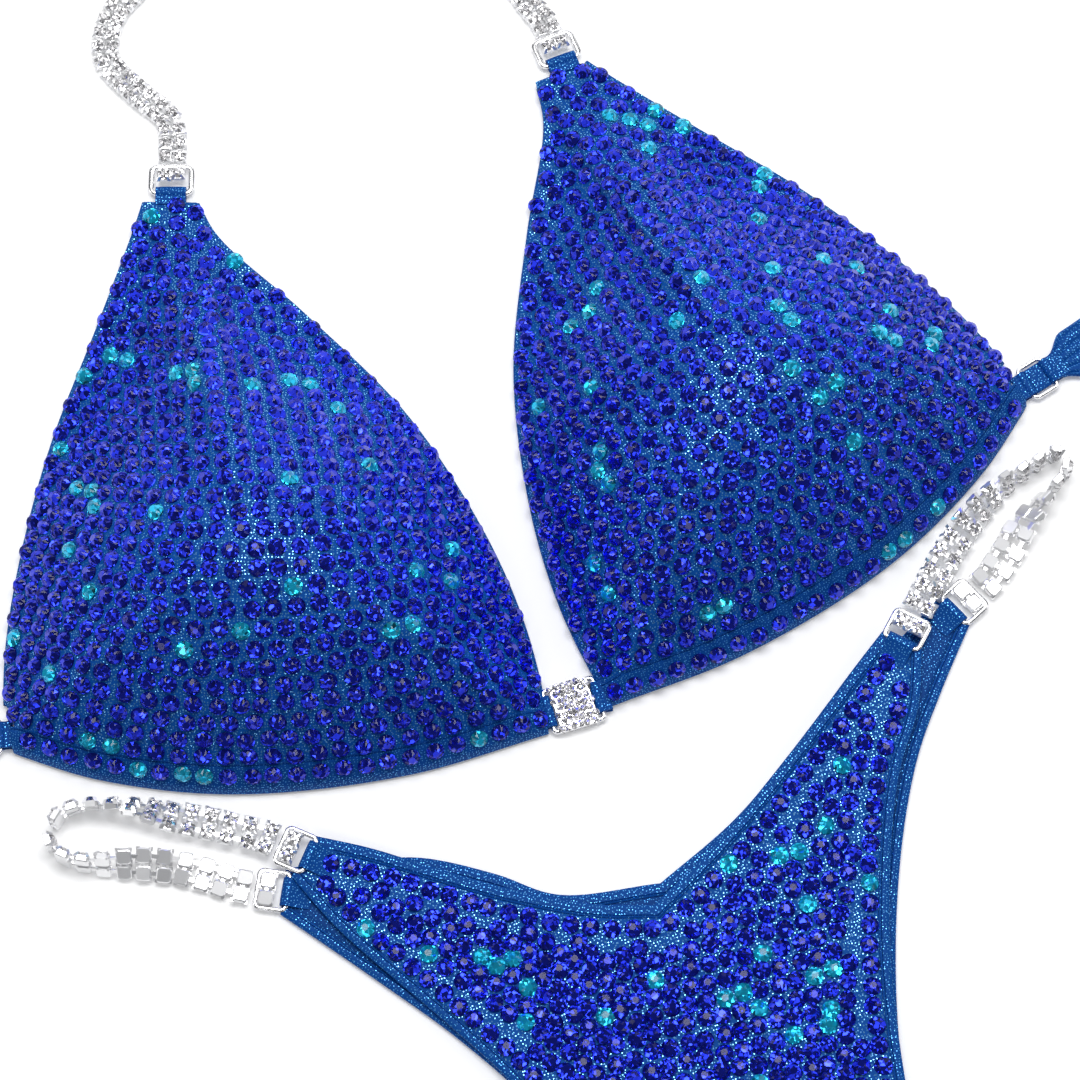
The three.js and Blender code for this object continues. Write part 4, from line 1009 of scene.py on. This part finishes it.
def make_neck(side, apex, route):
    """A neck ring with its chain: a lower run, an upper run, and a pair of cups on the ring."""
    make_ring(f"neck_ring_{side}_visual", apex, BAR_LIFT, NECK_RING, f"neck_ring_{side}")
    points = [*chain_lead(apex, NECK_RING), *(apex["at"] + np.array(route))]
    flat = (0, 0)
    below, above = (0, NECK_SPLIT - NECK_PART), (NECK_SPLIT + NECK_PART, NECK_END)
    lower = chain_stations(points, NECK_CHAIN, BAR_LIFT, flat, below, CHAIN_SETTLE)
    upper = chain_stations(points, NECK_CHAIN, BAR_LIFT, flat, above, CHAIN_SETTLE)
    joint = (lower[0][-1] + upper[0][0]) / 2
    for part, stations, end in (("lower", lower, -1), ("upper", upper, 0)):
        node = f"neck_chain_{part}_{side}"
        make_chain(f"neck_{part}_{side}", [node], node, stations, NECK_CHAIN, (end, joint))
    on_ring = on_far_bar(apex, NECK_RING, BAR_LIFT, 1)
    make_chain(f"neck_end_{side}", [], f"neck_ring_{side}", on_ring, NECK_CHAIN)


# ------------------------------------------------------------------ connector, straps and clasps
def make_connector():
    """The jewelled plate: packed small stones on a rounded silver plate with a wire round it."""
    along = outward({"degrees": PLATE_DEGREES})
    across = np.array([-along[1], along[0]])
    u = np.linspace(-1, 1, PAVE_ACROSS) * (PLATE_LENGTH / 2 - 0.6)
    v = np.linspace(-1, 1, PAVE_DOWN) * (PLATE_WIDTH / 2 - 0.8)
    u, v = np.meshgrid(u, v)
    u = u + PAVE_SHIFT * np.where(np.arange(PAVE_DOWN) % 2, 1, -1)[:, None]
    spots = np.stack([u.ravel(), v.ravel()], -1) + RNG.normal(0, 0.12, (u.size, 2))
    flat = spots[:, :1] * along + spots[:, 1:] * across
    crown = PLATE_TOP - 0.05 - 0.35 * (spots[:, 0] / (PLATE_LENGTH / 2)) ** 2
    centres, normals = lifted(flat, crown), np.tile(UP, (len(flat), 1))
    stones = set_stones("connector_pave", centres, normals, PAVE_RADIUS, 1.0, CRYSTAL, "connector", lean=0.16)
    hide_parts("connector_stones")
    outline = rounded_rectangle(-5.3, 5.3, -6.6, 6.6, 1.0, 5)
    plan = outline[:, :1] * along + outline[:, 1:] * across
    levels = ((0.96, 0.1), (1.0, 0.5), (1.0, 2.7), (0.97, 3.1), (0.9, PLATE_TOP))
    rows = np.array([lifted(plan * size, height) for size, height in levels])
    plate = closed_grid("connector_body", rows, SILVER, "connector")
    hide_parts("connector_plate")
    half_length, half_width = BAR_SPACING / 2, PLATE_WIDTH / 2 - 0.6
    path = rounded_rectangle(-half_length, half_length, -half_width, half_width, 0.9, 5)
    section = superellipse(2 * BAR_RADIUS, 2 * BAR_RADIUS, 2, 12)
    wire_ring("connector_wire", np.zeros(2), path, along, BAR_LIFT, section, "connector")


def strap_section():
    """Doubled elastic seen from its end: a thin rounded slab with three lengthwise ridges."""
    x = np.linspace(-1, 1, 41)
    top = 0.5 - 0.2 * np.cos(2.5 * math.pi * x) ** 8 - 0.38 * np.abs(x) ** 14
    upper = np.stack([x / 2, top], -1)
    return np.vstack([upper * [1, -1], upper[::-1]])


def make_strap(side, place, side_bar):
    """A back strap with its ring: elastic that spreads from the ring to its full width."""
    make_ring(f"side_ring_{side}_visual", side_bar, BAR_LIFT, SIDE_RING, f"side_ring_{side}")
    body = f"back_strap_{side}"
    far = far_bar(side_bar, SIDE_RING["span"])
    start = far_bar(far, 2.2)["at"]
    offsets = np.array(CUP_SIDE["at"]) + np.array(STRAP_ROUTE)
    curve = spline([start, *on_table(place, offsets)], 120)
    line = lifted(curve, BAR_LIFT)
    _, level = frames_along(line)
    share = np.linspace(0, 1, len(line))
    width = STRAP_NECK + (STRAP_WIDTH - STRAP_NECK) * smoothstep(share, 0, 0.05)
    scale = np.stack([width, np.full(len(line), STRAP_THICK)], -1)
    strap = swept(f"strap_{side}", line, level, UP, strap_section(), BINDING, body, scale=scale)
    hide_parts(f"back_strap_{side}")
    facing = {"at": far["at"], "degrees": far["degrees"] + 180}
    name, bore = f"strap_loop_{side}", ring_bore(SIDE_RING)
    loop = strip_loop(name, facing, BAR_LIFT, SIDE_LOOP, bore, STRAP_TAIL, *STRAP_LOOP_LEVELS, body)

    out = np.append(outward(side_bar), 0.0)
    ends = lifted(np.array([far_bar(side_bar, d)["at"] for d in TONGUE_RUN]), BAR_LIFT - 0.1)
    section = superellipse(*TONGUE_SIZE, 5, 20)
    ring = f"side_ring_{side}"
    tongue = swept(f"strap_tongue_{side}", ends, np.cross(out, UP), UP, section, BINDING, ring)


# ------------------------------------------------------------------ bottom
def panel_outline(waist, leg_right, leg_left):
    """A panel's outline: waist from left to right, down the right leg, and up the left leg."""
    dip = min(range(len(waist)), key=lambda k: waist[k][1])
    half = WAIST_POINTS // 2 + 1
    left_waist, right_waist = spline(waist[:dip + 1], half), spline(waist[dip:], half)
    legs = [spline(leg_right, LEG_POINTS), spline(leg_left[::-1], LEG_POINTS)]
    points = np.vstack([left_waist, right_waist[1:], *legs])
    bands = np.concatenate([np.full(WAIST_POINTS, WAIST_BAND), np.full(2 * LEG_POINTS, LEG_BAND)])
    bands[[WAIST_POINTS - 1, -1]] = TAB_BAND
    bands[WAIST_POINTS + LEG_POINTS - 1] = 0.0
    return points, bands


def panel_layer(name, outline, bands, low, high, body, material):
    """A closed cloth panel: a fan of rows from a centre to the outline, top and underside, whose top
    edge rolls down by 0.3 of its thickness."""
    rim = inset(outline, bands)
    shares = np.concatenate([np.linspace(0.03, 0.94, 24), np.linspace(0.955, 1, 6)])
    flat = PANEL_CENTRE + (rim - PANEL_CENTRE) * shares[:, None, None]
    top = high - (high - low) * 0.3 * smoothstep(shares, 0.97, 1)[:, None]
    on = on_table(BOTTOM, flat)
    rows = np.concatenate([lifted(on, top), lifted(on[::-1], low)])
    uv = np.concatenate([flat, flat[::-1]])
    return closed_grid(name, rows[:, ::-1], material, body, uv[:, ::-1], poles=True), rim


def panel_band(name, outline, bands, edges, low, high, body, seam):
    """A binding along a run of a panel's edges."""
    inner_line = inset(outline, bands)
    outer, inner = outline[edges], inner_line[edges]
    reach = np.maximum(np.linalg.norm(inner - outer, axis=1, keepdims=True), 1e-6)
    inner = outer + (inner - outer) / reach * np.minimum(reach, WAIST_BAND * 1.3)
    rows = band_rows(on_table(BOTTOM, outer), on_table(BOTTOM, inner), low, high, seam)
    uv = crossed(run_along(outer), run_along(rows[0]))
    return closed_grid(name, rows, BINDING, body, uv)


def make_panel(side, waist, leg_right, leg_left, tabs, low, lift, body):
    """One panel of the bottom with its bindings, tabs and hip rings."""
    outline, bands = panel_outline(waist, leg_right, leg_left)
    lower, upper = ("lining", "panel") if side == "front" else ("panel", "lining")
    looks = {"panel": SATIN, "lining": LINING}
    heights = {layer: (low + a, low + b) for layer, (a, b) in zip((lower, upper), PANEL_LEVELS)}
    for layer, (bottom, top) in heights.items():
        name = f"{side}_{layer}_cloth"
        piece, rim = panel_layer(name, outline, bands, bottom, top, body, looks[layer])
        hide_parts(f"{side}_{layer}")
    high = low + PANEL_TRIM_UP
    runs = (("waist", WAIST_RUN, 0.8), ("leg_right", RIGHT_LEG_RUN, 0.75), ("leg_left", LEFT_LEG_RUN, 0.75))
    for name, edges, seam in runs:
        trim = panel_band(f"{side}_{name}_trim", outline, bands, edges, low, high, body, seam)
        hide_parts(f"{side}_{name}_binding")
    for hand, tab in tabs.items():
        bar = bar_on_table(BOTTOM, tab)
        make_ring(f"{side}_hip_ring_{hand}_visual", bar, lift, HIP_RING, f"{side}_hip_ring_{hand}")
        loop = strip_loop(
            f"{side}_tab_loop_{hand}", bar, lift, TAB_LOOP, ring_bore(HIP_RING), TAB_TAIL,
            low - lift, high - lift, body
        )
        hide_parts(f"{side}_tab_{hand}")
    return rim


def panel_stone_places(rim):
    """Stones packed over the front panel: a row along each edge, and inside it a hexagonal lattice
    bent by slow waves, without the stones that would touch the edge rows, all with scatter."""
    limit = inset(rim, np.where(np.arange(len(rim)) < WAIST_POINTS, PANEL_WAIST_STRIP, PANEL_LEG_STRIP))
    edge_rows = []
    for run in (WAIST_RUN[3:-3], RIGHT_LEG_RUN[3:-2], LEFT_LEG_RUN[2:-3]):
        line = limit[run]
        length = run_along(line)[-1]
        row = resample(line, max(2, round(length / (PANEL_STONE_STEP + 0.15))))
        edge_rows.append(row + RNG.normal(0, ROW_SCATTER, row.shape))
    edge_rows = np.vstack(edge_rows)
    apart = np.linalg.norm(edge_rows[:, None] - edge_rows[None], axis=-1)
    crowded = np.any(np.triu(apart < PANEL_CROWDED, 1), axis=0)
    edge_rows = edge_rows[~crowded]
    u, v = np.meshgrid(np.arange(-20, 21), np.arange(-52, 8))
    x = (u + 0.5 * (v % 2)) * PANEL_STONE_STEP
    y = v * PANEL_STONE_STEP * 0.866  # half the root of three, for equal triangles
    spots = np.stack([x.ravel(), y.ravel()], -1)
    across, down = spots.T
    waves = np.stack([np.sin(down / 23 + across / 31), np.sin(across / 19 - down / 27)], -1)
    spots = spots + 2.6 * waves + RNG.normal(0, PANEL_SCATTER, spots.shape)
    spots = spots[inside(spots, limit)]
    near = np.min(np.linalg.norm(spots[:, None] - edge_rows[None], axis=-1), axis=1)
    return np.vstack([edge_rows, spots[near > PANEL_CLEAR]])


def make_gusset():
    """The cloth round the fold between the panels: a half tube of two ellipses, from under the back
    panel to the top of the front one."""
    half = np.linspace(-math.pi / 2, -1.5 * math.pi, 13)
    outer = np.stack([2.4 * np.cos(half), 2.0 + 1.9 * np.sin(half)], -1)
    inner = np.stack([1.7 * np.cos(half[::-1]), 2.0 + 1.3 * np.sin(half[::-1])], -1)
    section = np.vstack([outer, inner])
    across = np.linspace(-FOLD_HALF, FOLD_HALF, 21)
    rows = lifted(on_table(BOTTOM, crossed(across, FOLD_AT + section[:, 0])), section[:, 1])
    uv = crossed(across, np.linspace(0, 12, len(section)))
    gusset = closed_grid("fold_gusset", rows, LINING, None, uv)
    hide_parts("crotch_gusset")
    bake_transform(gusset)


def make_bottom():
    """The back panel, the front panel over it, the stones, and the gusset round the fold."""
    back, front = (BACK_WAIST, BACK_LEG_RIGHT, BACK_LEG_LEFT), (WAIST, LEG_RIGHT, LEG_LEFT)
    make_panel("back", *back, BACK_TABS, BACK_LOW, BAR_LIFT, "bottom_back")
    rim = make_panel("front", *front, FRONT_TABS, FRONT_LOW, FRONT_LIFT, "bottom_front")
    spots = panel_stone_places(rim)
    centres = lifted(on_table(BOTTOM, spots), PANEL_STONE_UP)
    normals = np.tile(UP, (len(spots), 1)) + RNG.normal(0, 0.1, (len(spots), 3))
    stones = set_two_tones("front_stone_set", centres, normals, "bottom_front")
    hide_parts("front_stones")
    make_gusset()


def make_hips():
    """The hip chains: stones up from the front ring, on edge round the hairpin, backs up behind."""
    for hand in ("right", "left"):
        front, back = bar_on_table(BOTTOM, FRONT_TABS[hand]), bar_on_table(BOTTOM, BACK_TABS[hand])
        out = [*chain_lead(front, HIP_RING), *(front["at"] + np.array(HIP_OUT[hand]))]
        rear = [*chain_lead(back, HIP_RING), *(front["at"] + np.array(HIP_BACK[hand]))[::-1]]
        stations = chain_stations(out, HIP_CHAIN, FRONT_LIFT, (0, 90), (0, 1), FRONT_SETTLE)
        node = f"hip_chain_front_{hand}"
        make_chain(f"hip_front_{hand}", [node], node, stations, HIP_CHAIN)
        on_ring = on_far_bar(front, HIP_RING, FRONT_LIFT, 1)
        make_chain(f"hip_end_front_{hand}", [], f"front_hip_ring_{hand}", on_ring, HIP_CHAIN)
        on_ring = on_far_bar(back, HIP_RING, BAR_LIFT, -1)
        make_chain(f"hip_end_back_{hand}", [], f"back_hip_ring_{hand}", on_ring, HIP_CHAIN)
        stations = chain_stations(rear, HIP_CHAIN, BAR_LIFT, (180, 90), (0, 1), CHAIN_SETTLE)
        node = f"hip_chain_back_{hand}"
        make_chain(f"hip_back_{hand}", [node], node, stations, HIP_CHAIN)


# ------------------------------------------------------------------ table, light and camera
def make_studio():
    """A pale table, a dim sky, soft lights above, behind, beside and in front, and the camera."""
    mesh = bpy.data.meshes.new("table_top")
    mesh.from_pydata([(-3, -3, 0), (3, -3, 0), (3, 3, 0), (-3, 3, 0)], [], [(0, 1, 2, 3)])
    pale, glow = (0.95, 0.95, 0.95, 1), (1, 1, 1, 1)
    floor = new_material(
        "pale_table", Base_Color=pale, Roughness=0.9, Emission_Color=glow, Emission_Strength=0.16
    )[0]
    mesh.materials.append(floor)
    table_top = bpy.data.objects.new("table_top", mesh)
    bpy.context.scene.collection.objects.link(table_top)

    world = bpy.data.worlds.new("studio")
    world.use_nodes = True
    world.node_tree.nodes["Background"].inputs["Color"].default_value = (0.9, 0.93, 1.0, 1)
    world.node_tree.nodes["Background"].inputs["Strength"].default_value = 0.14
    bpy.context.scene.world = world

    lights = (
        ("overhead", (0.0, 0.42, 1.5), (math.radians(-16), 0, 0), 1.1, 0.55, 17.0),
        ("back_wall", (0.0, 2.1, 0.9), (math.radians(-72), 0, 0), 3.6, 1.5, 21.0),
        ("left_side", (-1.7, -0.1, 0.9), (0, math.radians(-62), 0), 0.7, 0.9, 5.0),
        ("right_side", (1.7, 0.1, 0.9), (0, math.radians(62), 0), 0.7, 0.9, 5.0),
        ("front_left", (-0.55, -1.1, 1.2), (math.radians(42), 0, math.radians(-27)), 0.22, 0.5, 1.5),
        ("front_right", (0.75, -1.0, 1.1), (math.radians(43), 0, math.radians(35)), 0.22, 0.5, 1.5),
    )
    for name, place, turn, width, depth, power in lights:
        light = bpy.data.lights.new(name, "AREA")
        light.shape = "RECTANGLE"
        light.size, light.size_y = width, depth
        light.energy = power
        lamp = bpy.data.objects.new(name, light)
        lamp.location, lamp.rotation_euler = place, turn
        bpy.context.scene.collection.objects.link(lamp)

    lens = bpy.data.cameras.new("camera")
    lens.lens, lens.sensor_width = CAMERA_LENS, 36
    camera = bpy.data.objects.new("camera", lens)
    camera.location, camera.rotation_euler = CAMERA_AT, (math.radians(CAMERA_TILT), 0, 0)
    bpy.context.scene.collection.objects.link(camera)
    bpy.context.scene.camera = camera
    bpy.context.scene.view_settings.view_transform = "Standard"


for cup_side, cup_place in CUPS.items():
    apex_bar, outer_bar = make_cup(cup_side)
    make_neck(cup_side, apex_bar, cup_place["neck"])
    make_strap(cup_side, cup_place, outer_bar)
make_connector()
make_bottom()
make_hips()
make_studio()
